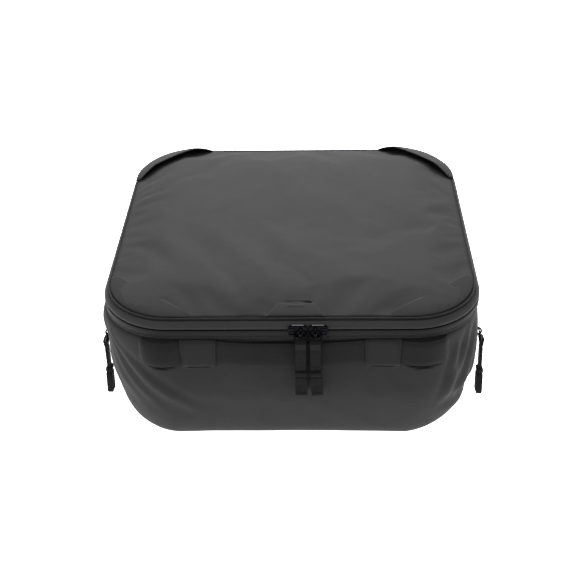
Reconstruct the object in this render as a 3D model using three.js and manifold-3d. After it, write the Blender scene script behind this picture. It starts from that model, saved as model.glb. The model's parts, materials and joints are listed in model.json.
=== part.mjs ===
// A soft packing cube: a padded fabric tub with a zipped lid that is hinged along the rear,
// a webbing handle on the front and a zipped flat pocket in each side wall.
// Millimetres, +Z up, front towards -Y, origin on the floor under the middle of the base.
import * as THREE from "three";
import { mergeVertices } from "three/addons/utils/BufferGeometryUtils.js";
import Module from "manifold-3d";

const wasm = await Module();
wasm.setup();

// ---------- Driving dimensions ----------
const WIDTH = 356; // rim, left to right
const DEPTH = 330; // rim, front to rear
const CORNER = 66; // plan radius of the rim's corners
const CORNER_STEPS = 8;
const FABRIC = 1.2;
const FOAM = 5;
const LINING = 0.8;
const GAP = 0.3; // between pieces that touch
const RIM_LOW = 138;
const ZIP_Z = 148;
const SEAM_Z = 158;
const SEAM_INSET = 4.5; // how far the lid's seam lies inside the rim
const LID_CROWN = 9; // how far the lid rises from its seam to its middle
const CROWN_REACH = 20; // how quickly it rises
const ZIP_GAP = 1.6; // between the two tape edges, where the slider's web runs
const SIDE_ZIP_Z = 86;
const SIDE_ZIP_HALF = 97;

// The outer wall, from the base up: [how far it lies inside the rim's outline, height].
const WALL = [
  [42, 0],
  [29, 1.5],
  [19, 6],
  [11, 16],
  [5.5, 34],
  [0.5, 58],
  [-2, 76],
  [-2, 104],
  [-1, 120],
  [1.5, RIM_LOW - GAP],
];

// ---------- The rim's outline, followed by the distance along it ----------
// s runs from the middle of the front, positive towards +X, round to the middle of the rear.
const FRONT_HALF = WIDTH / 2 - CORNER;
const SIDE_LENGTH = DEPTH - 2 * CORNER;
const ARC = (CORNER * Math.PI) / 2;
const S_SIDE = FRONT_HALF + ARC; // where the side's straight starts
const S_REAR_CORNER = S_SIDE + SIDE_LENGTH;
const S_REAR = S_REAR_CORNER + ARC;
const HALF_ROUND = S_REAR + FRONT_HALF;

// The point at s, moved out by the given distance along the outline's normal.
function outlinePoint(s, out) {
  const side = Math.sign(s) || 1;
  const a = Math.abs(s);
  const reach = CORNER + out;
  const cx = WIDTH / 2 - CORNER;
  const cy = DEPTH / 2 - CORNER;
  let x, y;
  if (a <= FRONT_HALF) {
    x = a;
    y = -cy - reach;
  } else if (a <= S_SIDE) {
    const turn = (a - FRONT_HALF) / CORNER;
    x = cx + reach * Math.sin(turn);
    y = -cy - reach * Math.cos(turn);
  } else if (a <= S_REAR_CORNER) {
    x = cx + reach;
    y = -cy + (a - S_SIDE);
  } else if (a <= S_REAR) {
    const turn = (a - S_REAR_CORNER) / CORNER;
    x = cx + reach * Math.cos(turn);
    y = cy + reach * Math.sin(turn);
  } else {
    x = FRONT_HALF - (a - S_REAR);
    y = cy + reach;
  }
  return [side * x, y];
}

// The values of s where the outline has its corner points, once round.
function cornerStops() {
  const half = [];
  for (const start of [FRONT_HALF, S_REAR_CORNER]) {
    for (let i = 0; i <= CORNER_STEPS; i += 1) half.push(start + (ARC * i) / CORNER_STEPS);
  }
  return [...half.map((s) => -s).reverse(), ...half];
}
const STOPS = cornerStops();

// A closed ring round the whole outline.
const ring = (out, z) => STOPS.map((s) => new THREE.Vector3(...outlinePoint(s, out), z));

// The stops for a strip from one s to another, with more between where it needs them.
function stopsBetween(from, to, more = []) {
  const inside = [...STOPS, ...more].filter((s) => s > from + 1 && s < to - 1);
  return [from, ...inside.sort((a, b) => a - b), to];
}

// ---------- Solids from rings and grids ----------
function closedGeometry(points, faces) {
  const position = new Float32Array(points.length * 3);
  points.forEach((p, i) => position.set([p.x, p.y, p.z], i * 3));
  let volume = 0;
  for (const [a, b, c] of faces) volume += points[a].dot(points[b].clone().cross(points[c]));
  const turned = volume < 0 ? faces.map(([a, b, c]) => [a, c, b]) : faces;
  return new THREE.BufferGeometry()
    .setAttribute("position", new THREE.BufferAttribute(position, 3))
    .setIndex(turned.flat());
}

// A skin through rings with equally many points. It ends in two middle points, or closes on itself.
function stack(rings, firstMiddle, lastMiddle) {
  const n = rings[0].length;
  const points = rings.flat();
  const faces = [];
  const bands = firstMiddle ? rings.length - 1 : rings.length;
  for (let r = 0; r < bands; r += 1) {
    const low = r * n;
    const high = ((r + 1) % rings.length) * n;
    for (let i = 0; i < n; i += 1) {
      const j = (i + 1) % n;
      faces.push([low + i, low + j, high + j], [low + i, high + j, high + i]);
    }
  }
  if (firstMiddle) {
    const last = (rings.length - 1) * n;
    const first = points.length;
    points.push(firstMiddle, lastMiddle);
    for (let i = 0; i < n; i += 1) {
      const j = (i + 1) % n;
      faces.push([first, j, i], [first + 1, last + i, last + j]);
    }
  }
  return closedGeometry(points, faces);
}

// A slab between two grids of points with the same rows and columns.
function slab(upper, lower) {
  const rows = upper.length;
  const columns = upper[0].length;
  const points = [...upper.flat(), ...lower.flat()];
  const at = (layer, r, c) => layer * rows * columns + r * columns + c;
  const faces = [];
  const quad = (a, b, c, d) => faces.push([a, b, c], [a, c, d]);
  for (let r = 0; r < rows - 1; r += 1) {
    for (let c = 0; c < columns - 1; c += 1) {
      quad(at(0, r, c), at(0, r, c + 1), at(0, r + 1, c + 1), at(0, r + 1, c));
      quad(at(1, r, c), at(1, r + 1, c), at(1, r + 1, c + 1), at(1, r, c + 1));
    }
    quad(at(0, r, 0), at(0, r + 1, 0), at(1, r + 1, 0), at(1, r, 0));
    quad(at(0, r, columns - 1), at(1, r, columns - 1), at(1, r + 1, columns - 1), at(0, r + 1, columns - 1));
  }
  for (let c = 0; c < columns - 1; c += 1) {
    quad(at(0, 0, c), at(1, 0, c), at(1, 0, c + 1), at(0, 0, c + 1));
    quad(at(0, rows - 1, c), at(0, rows - 1, c + 1), at(1, rows - 1, c + 1), at(1, rows - 1, c));
  }
  return closedGeometry(points, faces);
}

// A strip that follows the outline, whose section is a list of [out, height] for its two faces.
function strip(stops, outerAt, innerAt) {
  const grid = (face) =>
    stops.map((s) => face(s).map(([out, z]) => new THREE.Vector3(...outlinePoint(s, out), z)));
  return slab(grid(outerAt), grid(innerAt));
}

// ---------- Booleans ----------
function toSolid(geometry) {
  const bare = geometry.clone();
  bare.deleteAttribute("normal");
  bare.deleteAttribute("uv");
  const merged = mergeVertices(bare, 1e-3);
  return new wasm.Manifold(
    new wasm.Mesh({
      numProp: 3,
      vertProperties: new Float32Array(merged.attributes.position.array),
      triVerts: new Uint32Array(merged.index.array),
    }),
  );
}

function fromSolid(solid) {
  const mesh = solid.getMesh();
  return new THREE.BufferGeometry()
    .setAttribute("position", new THREE.BufferAttribute(new Float32Array(mesh.vertProperties), 3))
    .setIndex([...mesh.triVerts]);
}

const joined = (...pieces) => fromSolid(pieces.map(toSolid).reduce((a, b) => a.add(b)));
const cut = (piece, ...tools) => fromSolid(tools.map(toSolid).reduce((a, b) => a.subtract(b), toSolid(piece)));

// A box from its lowest to its highest corner.
function block(low, high) {
  const size = high.map((v, i) => v - low[i]);
  return new THREE.BoxGeometry(...size).translate(...low.map((v, i) => v + size[i] / 2));
}

// A flat outline in X and Z, given its thickness along Y from one face to the other.
function plateXZ(shape, yFrom, yTo) {
  return new THREE.ExtrudeGeometry(shape, { depth: yTo - yFrom, bevelEnabled: false, curveSegments: 4 })
    .rotateX(Math.PI / 2)
    .translate(0, yTo, 0);
}

// A flat outline in Y and Z, given its thickness along X, centred.
function plateYZ(shape, width) {
  return new THREE.ExtrudeGeometry(shape, { depth: width, bevelEnabled: false, curveSegments: 5 })
    .translate(0, 0, -width / 2)
    .rotateY(Math.PI / 2)
    .rotateX(Math.PI / 2);
}

// ---------- Materials ----------
function finish(colour, roughness, metalness = 0) {
  return new THREE.MeshStandardMaterial({ color: colour, roughness, metalness });
}
const shellFabric = finish("#3c3c3d", 0.85);
const rimFabric = finish("#353536", 0.7);
const webbingBlack = finish("#2c2c2d", 0.9);
const liningGrey = finish("#6a6d70", 0.85);
const foamGrey = finish("#4c4d50", 0.95);
const coilBlack = finish("#1b1b1c", 0.5);
const gunmetal = finish("#1e1e20", 0.25, 0.9);
const rubberBlack = finish("#1a1a1a", 0.6);

const cube = new THREE.Group();
function add(name, geometry, material, parent = cube) {
  const mesh = new THREE.Mesh(geometry, material);
  mesh.name = name;
  parent.add(mesh);
  return mesh;
}

// ---------- The tub's walls ----------
// The wall's outline moved inwards by a thickness, square to the wall.
function wallLayer(inwards) {
  const layer = WALL.map(([inset, z], i) => {
    const [insetBelow, zBelow] = WALL[Math.max(0, i - 1)];
    const [insetAbove, zAbove] = WALL[Math.min(WALL.length - 1, i + 1)];
    const rise = zAbove - zBelow;
    const run = insetAbove - insetBelow;
    const length = Math.hypot(rise, run);
    return [inset + (inwards * rise) / length, z - (inwards * run) / length];
  });
  layer[0] = [WALL[0][0], inwards];
  layer[layer.length - 1] = [WALL.at(-1)[0] + inwards, WALL.at(-1)[1]];
  return layer;
}

// How far out the outer wall's face lies at a height.
function wallOut(z) {
  const above = WALL.findIndex(([, height]) => height >= z);
  const [insetLow, low] = WALL[above - 1];
  const [insetHigh, high] = WALL[above];
  return -(insetLow + ((insetHigh - insetLow) * (z - low)) / (high - low));
}

// A cup between two layers of the wall, cut level at its top.
function cup(outwards, inwards, top) {
  const outer = wallLayer(outwards);
  const inner = wallLayer(inwards);
  const rings = [
    ...outer.map(([inset, z]) => ring(-inset, Math.min(z, top))),
    ...inner.reverse().map(([inset, z]) => ring(-inset, Math.min(z, top))),
  ];
  return stack(rings, new THREE.Vector3(0, 0, outer[0][1]), new THREE.Vector3(0, 0, inner.at(-1)[1]));
}

const SIDE_SLOT_HALF = 6.5; // half the height of the slot that the side zip closes
function sideSlot(side, depth, length) {
  const x = side * (WIDTH / 2);
  const reach = [x - side * depth, x + side * 6].sort((a, b) => a - b);
  return block(
    [reach[0], -length, SIDE_ZIP_Z - SIDE_SLOT_HALF],
    [reach[1], length, SIDE_ZIP_Z + SIDE_SLOT_HALF],
  );
}
const SLOT_LENGTH = SIDE_ZIP_HALF - 4;
add(
  "tub_shell",
  cut(cup(0, FABRIC, RIM_LOW), sideSlot(-1, 3, SLOT_LENGTH), sideSlot(1, 3, SLOT_LENGTH)),
  shellFabric,
);

const FOAM_OUT = FABRIC + GAP;
const FOAM_IN = FOAM_OUT + FOAM;
const LINING_OUT = FOAM_IN + GAP;
add("tub_lining", cup(LINING_OUT, LINING_OUT + LINING, RIM_LOW), liningGrey);

const PAD_FIRST = 2; // the wall pads run over the wall's knots from this one up
function wallPad(from, to) {
  const outer = wallLayer(FOAM_OUT).slice(PAD_FIRST);
  const inner = wallLayer(FOAM_IN).slice(PAD_FIRST);
  const face = (layer) => () => layer.map(([inset, z]) => [-inset, z]);
  return strip(stopsBetween(from, to), face(outer), face(inner));
}
const QUARTER = ARC / CORNER_STEPS; // a pad ends a few facets into each corner
const PAD_TURN = QUARTER * 3;
add("front_foam_pad", wallPad(-FRONT_HALF - PAD_TURN, FRONT_HALF + PAD_TURN), foamGrey);
for (const [name, side] of [["left", -1], ["right", 1]]) {
  const ends = [side * (S_SIDE - PAD_TURN), side * (S_REAR_CORNER + PAD_TURN)].sort((a, b) => a - b);
  const recess = sideSlot(side, 3.2, SIDE_ZIP_HALF + 12);
  add(`${name}_foam_pad`, cut(wallPad(...ends), recess), foamGrey);
}

// The rear pad crosses the place where s jumps, so it is made in the front and turned round.
const rearPad = wallPad(-FRONT_HALF - PAD_TURN, FRONT_HALF + PAD_TURN).rotateZ(Math.PI);
add("rear_foam_pad", rearPad, foamGrey);

function roundedPlate(inset, low, high) {
  const upper = ring(-inset, high);
  const lower = ring(-inset, low);
  return stack([upper, lower], new THREE.Vector3(0, 0, high), new THREE.Vector3(0, 0, low));
}
add("base_foam_pad", roundedPlate(WALL[0][0] - 2, FOAM_OUT, FOAM_IN), foamGrey);

// ---------- The rim: two bands of tape with the zip between them ----------
const BAND_OUT = 0.9;
const TAPE_IN = -0.1;
const WELT_IN = -2.7;
const WELT = 3; // height of the folded edge that is sewn to the wall or the lid
const TAPE_LOW_TOP = ZIP_Z - ZIP_GAP / 2;
const TAPE_HIGH_LOW = ZIP_Z + ZIP_GAP / 2;
const bandRings = (section) => stack(section.map(([out, z]) => ring(out, z)));
add(
  "lower_rim_band",
  bandRings([
    [WELT_IN, RIM_LOW],
    [BAND_OUT, RIM_LOW],
    [BAND_OUT, TAPE_LOW_TOP],
    [TAPE_IN, TAPE_LOW_TOP],
    [TAPE_IN, RIM_LOW + WELT],
    [WELT_IN, RIM_LOW + WELT],
  ]),
  rimFabric,
);

// The upper band leans in over its top half, to the lid's seam.
const BAND_TOP = SEAM_Z - FABRIC - GAP;
add(
  "upper_rim_band",
  bandRings([
    [WELT_IN - SEAM_INSET, BAND_TOP],
    [BAND_OUT - SEAM_INSET, BAND_TOP],
    [BAND_OUT - SEAM_INSET / 3, BAND_TOP - 2],
    [BAND_OUT, TAPE_HIGH_LOW + 3],
    [BAND_OUT, TAPE_HIGH_LOW],
    [TAPE_IN, TAPE_HIGH_LOW],
    [TAPE_IN, TAPE_HIGH_LOW + 4],
    [WELT_IN - SEAM_INSET, TAPE_HIGH_LOW + 6],
  ]),
  rimFabric,
);

// The piping in the seam between the upper band and the lid.
const PIPING = { out: 0.6 - SEAM_INSET, z: SEAM_Z + 0.4, radius: 1.2 };
const pipingRings = [0, 1, 2, 3, 4, 5].map((i) => {
  const turn = (i * Math.PI) / 3;
  return ring(PIPING.out + PIPING.radius * Math.cos(turn), PIPING.z + PIPING.radius * Math.sin(turn));
});
add("lid_seam_piping", stack(pipingRings), rimFabric);

const ZIP_END = S_REAR_CORNER + QUARTER * 5; // the zip stops part of the way round each rear corner
const COIL_WIDTH = 3.6;
const COIL_OUT = TAPE_IN - GAP;
const COIL_IN = COIL_OUT - 1.8;
function coil(low, high) {
  const face = (out) => () => [
    [out, low],
    [out, high],
  ];
  return strip(stopsBetween(-ZIP_END, ZIP_END), face(COIL_OUT), face(COIL_IN));
}
add("lower_zip_coil", coil(TAPE_LOW_TOP - COIL_WIDTH, TAPE_LOW_TOP), coilBlack);
add("upper_zip_coil", coil(TAPE_HIGH_LOW, TAPE_HIGH_LOW + COIL_WIDTH), coilBlack);

// The fabric hinge along the rear: one leaf sewn to the tub and one to the lid.
const HINGE_OUT = BAND_OUT + 1.5; // how far out its fold lies
const HINGE_HALF = FRONT_HALF - 12;
const HINGE_LEAF = 9;
const REAR_Y = DEPTH / 2;
function hingeLeaf(low, high) {
  return block(
    [-HINGE_HALF, REAR_Y + BAND_OUT + GAP, low],
    [HINGE_HALF, REAR_Y + HINGE_OUT - 0.2, high],
  );
}
add("lower_hinge_leaf", hingeLeaf(ZIP_Z - 0.2 - HINGE_LEAF, ZIP_Z - 0.2), rimFabric);
add("upper_hinge_leaf", hingeLeaf(ZIP_Z + 0.2, ZIP_Z + 0.2 + HINGE_LEAF), rimFabric);

// ---------- The lid ----------
// How far a point lies inside the rim's outline.
function insideBy(x, y) {
  const qx = Math.abs(x) - (WIDTH / 2 - CORNER);
  const qy = Math.abs(y) - (DEPTH / 2 - CORNER);
  const outside = Math.hypot(Math.max(qx, 0), Math.max(qy, 0));
  return CORNER - outside - Math.min(Math.max(qx, qy), 0);
}
function lidHeight(x, y) {
  const inside = Math.max(0, insideBy(x, y) - SEAM_INSET);
  return SEAM_Z + LID_CROWN * (1 - Math.exp(-inside / CROWN_REACH));
}

const LID_INSETS = [8, 13, 20, 30, 45, 64];
function lidRing(inset, down) {
  return ring(-inset, 0).map((p) => p.setZ(lidHeight(p.x, p.y) - down));
}
function domedPlate(firstInset, from, to) {
  const insets = [firstInset, ...LID_INSETS.filter((v) => v > firstInset + 2)];
  const upper = insets.map((v) => lidRing(v, from));
  const lower = insets.map((v) => lidRing(v, to));
  const middle = (down) => new THREE.Vector3(0, 0, lidHeight(0, 0) - down);
  return stack([...upper.reverse(), ...lower], middle(from), middle(to));
}
add("lid_panel", domedPlate(SEAM_INSET + 1, 0, FABRIC), shellFabric);
add("lid_foam_pad", domedPlate(SEAM_INSET + 6, FOAM_OUT, FOAM_IN), foamGrey);
add("lid_lining", domedPlate(SEAM_INSET + 6, LINING_OUT, LINING_OUT + LINING), liningGrey);

// A patch over one corner of the lid, from the rim in to a line across the corner.
const PATCH_ROWS = 8;
const PATCH_THICK = 0.9;
const LID_STAND = 1; // between the lid's skin and what lies on it
function cornerPatch(side, from, to, bow, lift) {
  const stops = [];
  for (let i = 0; i <= PATCH_ROWS; i += 1) stops.push(from + ((to - from) * i) / PATCH_ROWS);
  const start = outlinePoint(from, -SEAM_INSET - 4);
  const end = outlinePoint(to, -SEAM_INSET - 4);
  const grid = (raise) =>
    stops.map((s, i) => {
      const along = i / PATCH_ROWS;
      const rim = outlinePoint(s, -SEAM_INSET - 2);
      const belly = Math.sin(Math.PI * along);
      const line = start.map((v, k) => v + (end[k] - v) * along);
      const inner = line.map((v, k) => v + (rim[k] - v) * bow * belly);
      return [0, 0.2, 0.45, 0.7, 1].map((t) => {
        const [x, y] = rim.map((v, k) => v + (inner[k] - v) * t);
        return new THREE.Vector3(side * x, y, lidHeight(x, y) + raise + lift * belly * t * t);
      });
    });
  return slab(grid(LID_STAND + PATCH_THICK), grid(LID_STAND));
}
const FRONT_PATCH = [FRONT_HALF - 20, S_SIDE + 5];
const REAR_PATCH = [S_REAR_CORNER - 8, S_REAR + 16];
const POCKET_LIFT = 2.8;
for (const [name, side] of [["left", -1], ["right", 1]]) {
  add(`front_${name}_corner_patch`, cornerPatch(side, ...FRONT_PATCH, 0.12, 0), shellFabric);
  add(`rear_${name}_corner_pocket`, cornerPatch(side, ...REAR_PATCH, 0, POCKET_LIFT), shellFabric);
}

// The grip patch at the middle of the lid's front edge.
const GRIP_PATCH = { middle: 5, front: 28, rear: 15.5, length: 19, thick: 1.4 };
function gripPatch() {
  const grid = (raise) =>
    [0, 0.25, 0.5, 0.75, 1].map((t) => {
      const half = GRIP_PATCH.front + (GRIP_PATCH.rear - GRIP_PATCH.front) * t;
      const y = -DEPTH / 2 + SEAM_INSET + 2 + GRIP_PATCH.length * t;
      return [-1, -0.5, 0, 0.5, 1].map((u) => {
        const x = GRIP_PATCH.middle + u * half;
        return new THREE.Vector3(x, y, lidHeight(x, y) + raise);
      });
    });
  return slab(grid(LID_STAND + GRIP_PATCH.thick), grid(LID_STAND));
}
add("lid_grip_patch", gripPatch(), rubberBlack);

// ---------- The webbing handle and its two keepers ----------
const WEB_TOP = 135.5;
const WEB_LOW = 110.5;
const WEB_THICK = 1.6;
const WEB_ENDS = [-141, 148];
const KEEPER_MIDDLE = 87;
const KEEPER_HALF = 17;
const LOOP_BOW = 3.5; // how far the outer loops stand off the wall
function webOut(s, z) {
  const outside = Math.abs(s) - (KEEPER_MIDDLE + KEEPER_HALF);
  const end = s < 0 ? -WEB_ENDS[0] : WEB_ENDS[1];
  const span = end - KEEPER_MIDDLE - KEEPER_HALF;
  const bow = outside > 0 ? LOOP_BOW * Math.sin(Math.PI * Math.min(1, outside / span)) : 0;
  return wallOut(z) + GAP + bow;
}
const webStops = stopsBetween(
  ...WEB_ENDS,
  [-1, 1].flatMap((side) => [0, 1].map((end) => side * (KEEPER_MIDDLE + (end ? 1 : -1) * KEEPER_HALF))),
);
const WALL_KNOT = 120; // a height where the wall bends, behind the webbing
const webFace = (raise) => (s) => [WEB_LOW, WALL_KNOT, WEB_TOP].map((z) => [webOut(s, z) + raise, z]);
add("handle_webbing", strip(webStops, webFace(WEB_THICK), webFace(0)), webbingBlack);

// A keeper hangs from the rim, passes over the webbing and is sewn to the wall under it.
const KEEPER_LOW = 106;
const KEEPER_THICK = 1;
function keeper(side) {
  const over = GAP + WEB_THICK + GAP;
  const heights = [
    [RIM_LOW - 0.6, over],
    [WEB_TOP, over],
    [WALL_KNOT, over],
    [WEB_LOW - 1, over],
    [WEB_LOW - 2.5, GAP],
    [KEEPER_LOW, GAP],
  ];
  const grid = (raise) =>
    heights.map(([z, stand]) => {
      const half = KEEPER_HALF - ((RIM_LOW - z) / (RIM_LOW - KEEPER_LOW)) * 1.5;
      return [-1, 1].map((u) => {
        const s = side * KEEPER_MIDDLE + u * half;
        return new THREE.Vector3(...outlinePoint(s, wallOut(z) + stand + raise), z);
      });
    });
  return slab(grid(KEEPER_THICK), grid(0));
}
add("left_handle_keeper", keeper(-1), shellFabric);
add("right_handle_keeper", keeper(1), shellFabric);

// ---------- The side zips ----------
const SIDE_WALL_X = WIDTH / 2 + 2; // the wall is upright at this height
const SIDE_TAPE = 8;
const SIDE_TAPE_OUT = GAP + 0.9;
function sideZip(name, side) {
  const place = (from, to, length, low, high) => {
    const x = [side * (SIDE_WALL_X + from), side * (SIDE_WALL_X + to)].sort((a, b) => a - b);
    return block([x[0], -length, low], [x[1], length, high]);
  };
  const low = SIDE_ZIP_Z - ZIP_GAP / 2;
  const high = SIDE_ZIP_Z + ZIP_GAP / 2;
  const tape = [GAP, SIDE_TAPE_OUT, SIDE_ZIP_HALF];
  add(`${name}_pocket_lower_tape`, place(...tape, low - SIDE_TAPE, low), rimFabric);
  add(`${name}_pocket_upper_tape`, place(...tape, high, high + SIDE_TAPE), rimFabric);
  const coilBox = [-1.8, 0, SLOT_LENGTH - 1];
  add(`${name}_pocket_lower_coil`, place(...coilBox, low - COIL_WIDTH, low), coilBlack);
  add(`${name}_pocket_upper_coil`, place(...coilBox, high, high + COIL_WIDTH), coilBlack);
}
sideZip("left", -1);
sideZip("right", 1);

// ---------- Sliders and their pulls ----------
// Each is made with the zip running along X, the tape's outer face at y = 0 and the outside at -Y.
const EYE_X = 2.6; // the slider's eye lies this far towards its nose
const EYE_Y = -5; // the ring's top bar turns here, in the slider's eye
const RING_WIRE = 1.4;
const RING_DROP = 9.5; // from the ring's top bar to its bottom bar
const RING_LEAN = 0.32; // how far the hanging ring leans out, in radians
const RING_INSIDE = 4.9; // half its inner width
const STRAP_HALF = 4.7;
const STRAP_THICK = 3.4;
const STRAP_LENGTH = 38;
const FOLD_HOLE = 1.35;
const FOLD_OUT = 2.75;
const GRIP_TOP = 32; // how far below the fold the moulded grip starts
const GRIP_LENGTH = 29;

function sliderPlate(tail, nose, half, yFrom, yTo) {
  const shape = new THREE.Shape();
  shape.moveTo(-half + 2, -tail);
  shape.lineTo(half - 4, -nose);
  shape.quadraticCurveTo(half, -nose, half, -nose + 4);
  shape.lineTo(half, nose - 4);
  shape.quadraticCurveTo(half, nose, half - 4, nose);
  shape.lineTo(-half + 2, tail);
  shape.quadraticCurveTo(-half, tail, -half, tail - 2);
  shape.lineTo(-half, -tail + 2);
  shape.quadraticCurveTo(-half, -tail, -half + 2, -tail);
  return plateXZ(shape, yFrom, yTo);
}

function sliderBody() {
  const arch = new THREE.Shape();
  arch.moveTo(-2.2, -4.8);
  arch.lineTo(-5.8, -4.8);
  arch.quadraticCurveTo(-8.2, -4.4, -8.2, -2);
  arch.lineTo(-8.2, 2);
  arch.quadraticCurveTo(-8.2, 4.4, -5.8, 4.8);
  arch.lineTo(-2.2, 4.8);
  arch.closePath();
  const eye = new THREE.Path();
  eye.moveTo(-2.7, -3.1);
  eye.lineTo(-2.7, 3.1);
  eye.lineTo(-5.6, 3.1);
  eye.lineTo(-6.6, 2);
  eye.lineTo(-6.6, -2);
  eye.lineTo(-5.6, -3.1);
  eye.closePath();
  arch.holes.push(eye);
  return joined(
    sliderPlate(6, 6.8, 9, -2.5, -0.3),
    sliderPlate(4.8, 5.6, 8.6, 3.6, 5.1),
    block([4, -1, -0.45], [8.5, 4, 0.45]),
    plateYZ(arch, 3.6).translate(EYE_X, 0, 0),
  );
}

function pullRing() {
  const half = RING_INSIDE + RING_WIRE;
  const top = RING_WIRE / 2;
  const low = -RING_DROP - RING_WIRE / 2;
  const shape = new THREE.Shape();
  shape.moveTo(-half + 3, top);
  shape.quadraticCurveTo(-half, top, -half, top - 3);
  shape.lineTo(-half, low + 3);
  shape.quadraticCurveTo(-half, low, -half + 3, low);
  shape.lineTo(half - 3, low);
  shape.quadraticCurveTo(half, low, half, low + 3);
  shape.lineTo(half, top - 3);
  shape.quadraticCurveTo(half, top, half - 3, top);
  shape.closePath();
  const hole = new THREE.Path();
  const r = RING_INSIDE;
  const up = -RING_WIRE / 2;
  const down = -RING_DROP + RING_WIRE / 2;
  hole.moveTo(-r, up);
  hole.lineTo(-r, down);
  hole.lineTo(r, down);
  hole.lineTo(r, up);
  hole.closePath();
  shape.holes.push(hole);
  return plateXZ(shape, -RING_WIRE / 2, RING_WIRE / 2);
}

function pullStrap() {
  const shape = new THREE.Shape();
  const half = STRAP_THICK / 2;
  shape.moveTo(-half, -STRAP_LENGTH);
  shape.lineTo(half, -STRAP_LENGTH);
  shape.lineTo(half, -6);
  shape.lineTo(FOLD_OUT, -1.5);
  shape.absarc(0, 0, FOLD_OUT, 0, Math.PI, false);
  shape.lineTo(-FOLD_OUT, -1.5);
  shape.lineTo(-half, -6);
  shape.closePath();
  const hole = new THREE.Path();
  hole.absarc(0, 0, FOLD_HOLE, 0, Math.PI * 2, true);
  shape.holes.push(hole);
  return plateYZ(shape, STRAP_HALF * 2);
}

function pullGrip() {
  const shape = new THREE.Shape();
  const collar = STRAP_HALF + GAP + 0.5;
  const low = -GRIP_TOP - GRIP_LENGTH;
  shape.moveTo(-collar, -GRIP_TOP);
  shape.lineTo(-collar, -GRIP_TOP - 6);
  shape.lineTo(-5.6, -GRIP_TOP - 8);
  shape.lineTo(-5.6, low + 2);
  shape.lineTo(-3.2, low);
  shape.lineTo(3.2, low);
  shape.lineTo(5.6, low + 2);
  shape.lineTo(5.6, -GRIP_TOP - 8);
  shape.lineTo(collar, -GRIP_TOP - 6);
  shape.lineTo(collar, -GRIP_TOP);
  shape.closePath();
  const socket = block(
    [-STRAP_HALF - GAP, -STRAP_THICK / 2 - GAP, -STRAP_LENGTH - GAP],
    [STRAP_HALF + GAP, STRAP_THICK / 2 + GAP, -GRIP_TOP + 1],
  );
  return cut(plateXZ(shape, -3.2, 3.2), socket);
}

// A slider with its ring, strap and grip, placed on a zip and facing out.
function zipSlider(name, x, y, z, facing, noseLeft) {
  const place = new THREE.Group();
  place.position.set(x, y, z);
  place.rotation.z = facing;
  cube.add(place);
  const body = add(`${name}_slider`, sliderBody(), gunmetal, place);
  if (noseLeft) body.geometry.applyMatrix4(new THREE.Matrix4().makeScale(-1, 1, 1));
  if (noseLeft) body.geometry.setIndex([...body.geometry.index.array].reverse());
  const hanging = new THREE.Group();
  hanging.position.set(noseLeft ? -EYE_X : EYE_X, EYE_Y, 0);
  place.add(hanging);
  const link = add(`${name}_pull_ring`, pullRing(), gunmetal, hanging);
  link.rotation.x = -RING_LEAN;
  const pull = new THREE.Group();
  pull.position.set(0, -RING_DROP * Math.sin(RING_LEAN), -RING_DROP * Math.cos(RING_LEAN));
  hanging.add(pull);
  add(`${name}_pull_strap`, pullStrap(), webbingBlack, pull);
  add(`${name}_pull_grip`, pullGrip(), rubberBlack, pull);
}
const FRONT_MEET = 16.2; // where the two front sliders meet, right of the middle
const SLIDER_APART = 9.2;
const FRONT_FACE = -DEPTH / 2 - BAND_OUT;
zipSlider("front_left", FRONT_MEET - SLIDER_APART, FRONT_FACE, ZIP_Z, 0, false);
zipSlider("front_right", FRONT_MEET + SLIDER_APART, FRONT_FACE, ZIP_Z, 0, true);
const SIDE_FACE = SIDE_WALL_X + SIDE_TAPE_OUT;
const SIDE_PARK = -84; // the side sliders park at the front end of their zips
zipSlider("left_pocket", -SIDE_FACE, SIDE_PARK, SIDE_ZIP_Z, -Math.PI / 2, false);
zipSlider("right_pocket", SIDE_FACE, SIDE_PARK, SIDE_ZIP_Z, Math.PI / 2, true);

export default cube;
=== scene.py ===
# %% [markdown]
# # A soft packing cube
# A padded tub of woven nylon with a zipped lid, hinged along the rear. The CAD model gives the frame:
# which pieces there are, where they lie and how they move. This lesson gives each piece its looks.
# Lengths are written in millimetres and turned to metres when a mesh is made.

# %% Load the frame
import json
import math

import bmesh
import bpy
from mathutils import Matrix, Vector, noise


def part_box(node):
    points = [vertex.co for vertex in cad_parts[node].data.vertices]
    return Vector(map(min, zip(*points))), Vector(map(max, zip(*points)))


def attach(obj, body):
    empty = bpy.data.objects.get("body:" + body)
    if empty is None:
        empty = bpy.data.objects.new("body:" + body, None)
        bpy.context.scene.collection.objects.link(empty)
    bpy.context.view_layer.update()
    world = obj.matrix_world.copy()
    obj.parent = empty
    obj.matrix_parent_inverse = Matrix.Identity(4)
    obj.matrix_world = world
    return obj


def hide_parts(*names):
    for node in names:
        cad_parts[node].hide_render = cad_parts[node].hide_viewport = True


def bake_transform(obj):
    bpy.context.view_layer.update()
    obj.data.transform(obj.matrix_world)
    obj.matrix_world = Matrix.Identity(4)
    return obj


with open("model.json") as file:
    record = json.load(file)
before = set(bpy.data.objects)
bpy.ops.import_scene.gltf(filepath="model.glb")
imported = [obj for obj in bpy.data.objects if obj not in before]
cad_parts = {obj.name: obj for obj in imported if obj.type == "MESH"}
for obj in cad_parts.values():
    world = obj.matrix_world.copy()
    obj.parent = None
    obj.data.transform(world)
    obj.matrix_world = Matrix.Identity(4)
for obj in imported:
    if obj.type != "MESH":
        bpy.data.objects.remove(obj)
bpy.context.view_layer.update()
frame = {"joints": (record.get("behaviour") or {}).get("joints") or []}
MM = 0.001


def box_mm(node):
    low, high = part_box(node)
    return low / MM, high / MM


# %% [markdown]
# ## The camera
# It looks down at 35 degrees from the front, from a little over a metre away, with a longish lens, so
# that the rim's far side is only a little smaller than its near side.

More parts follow.
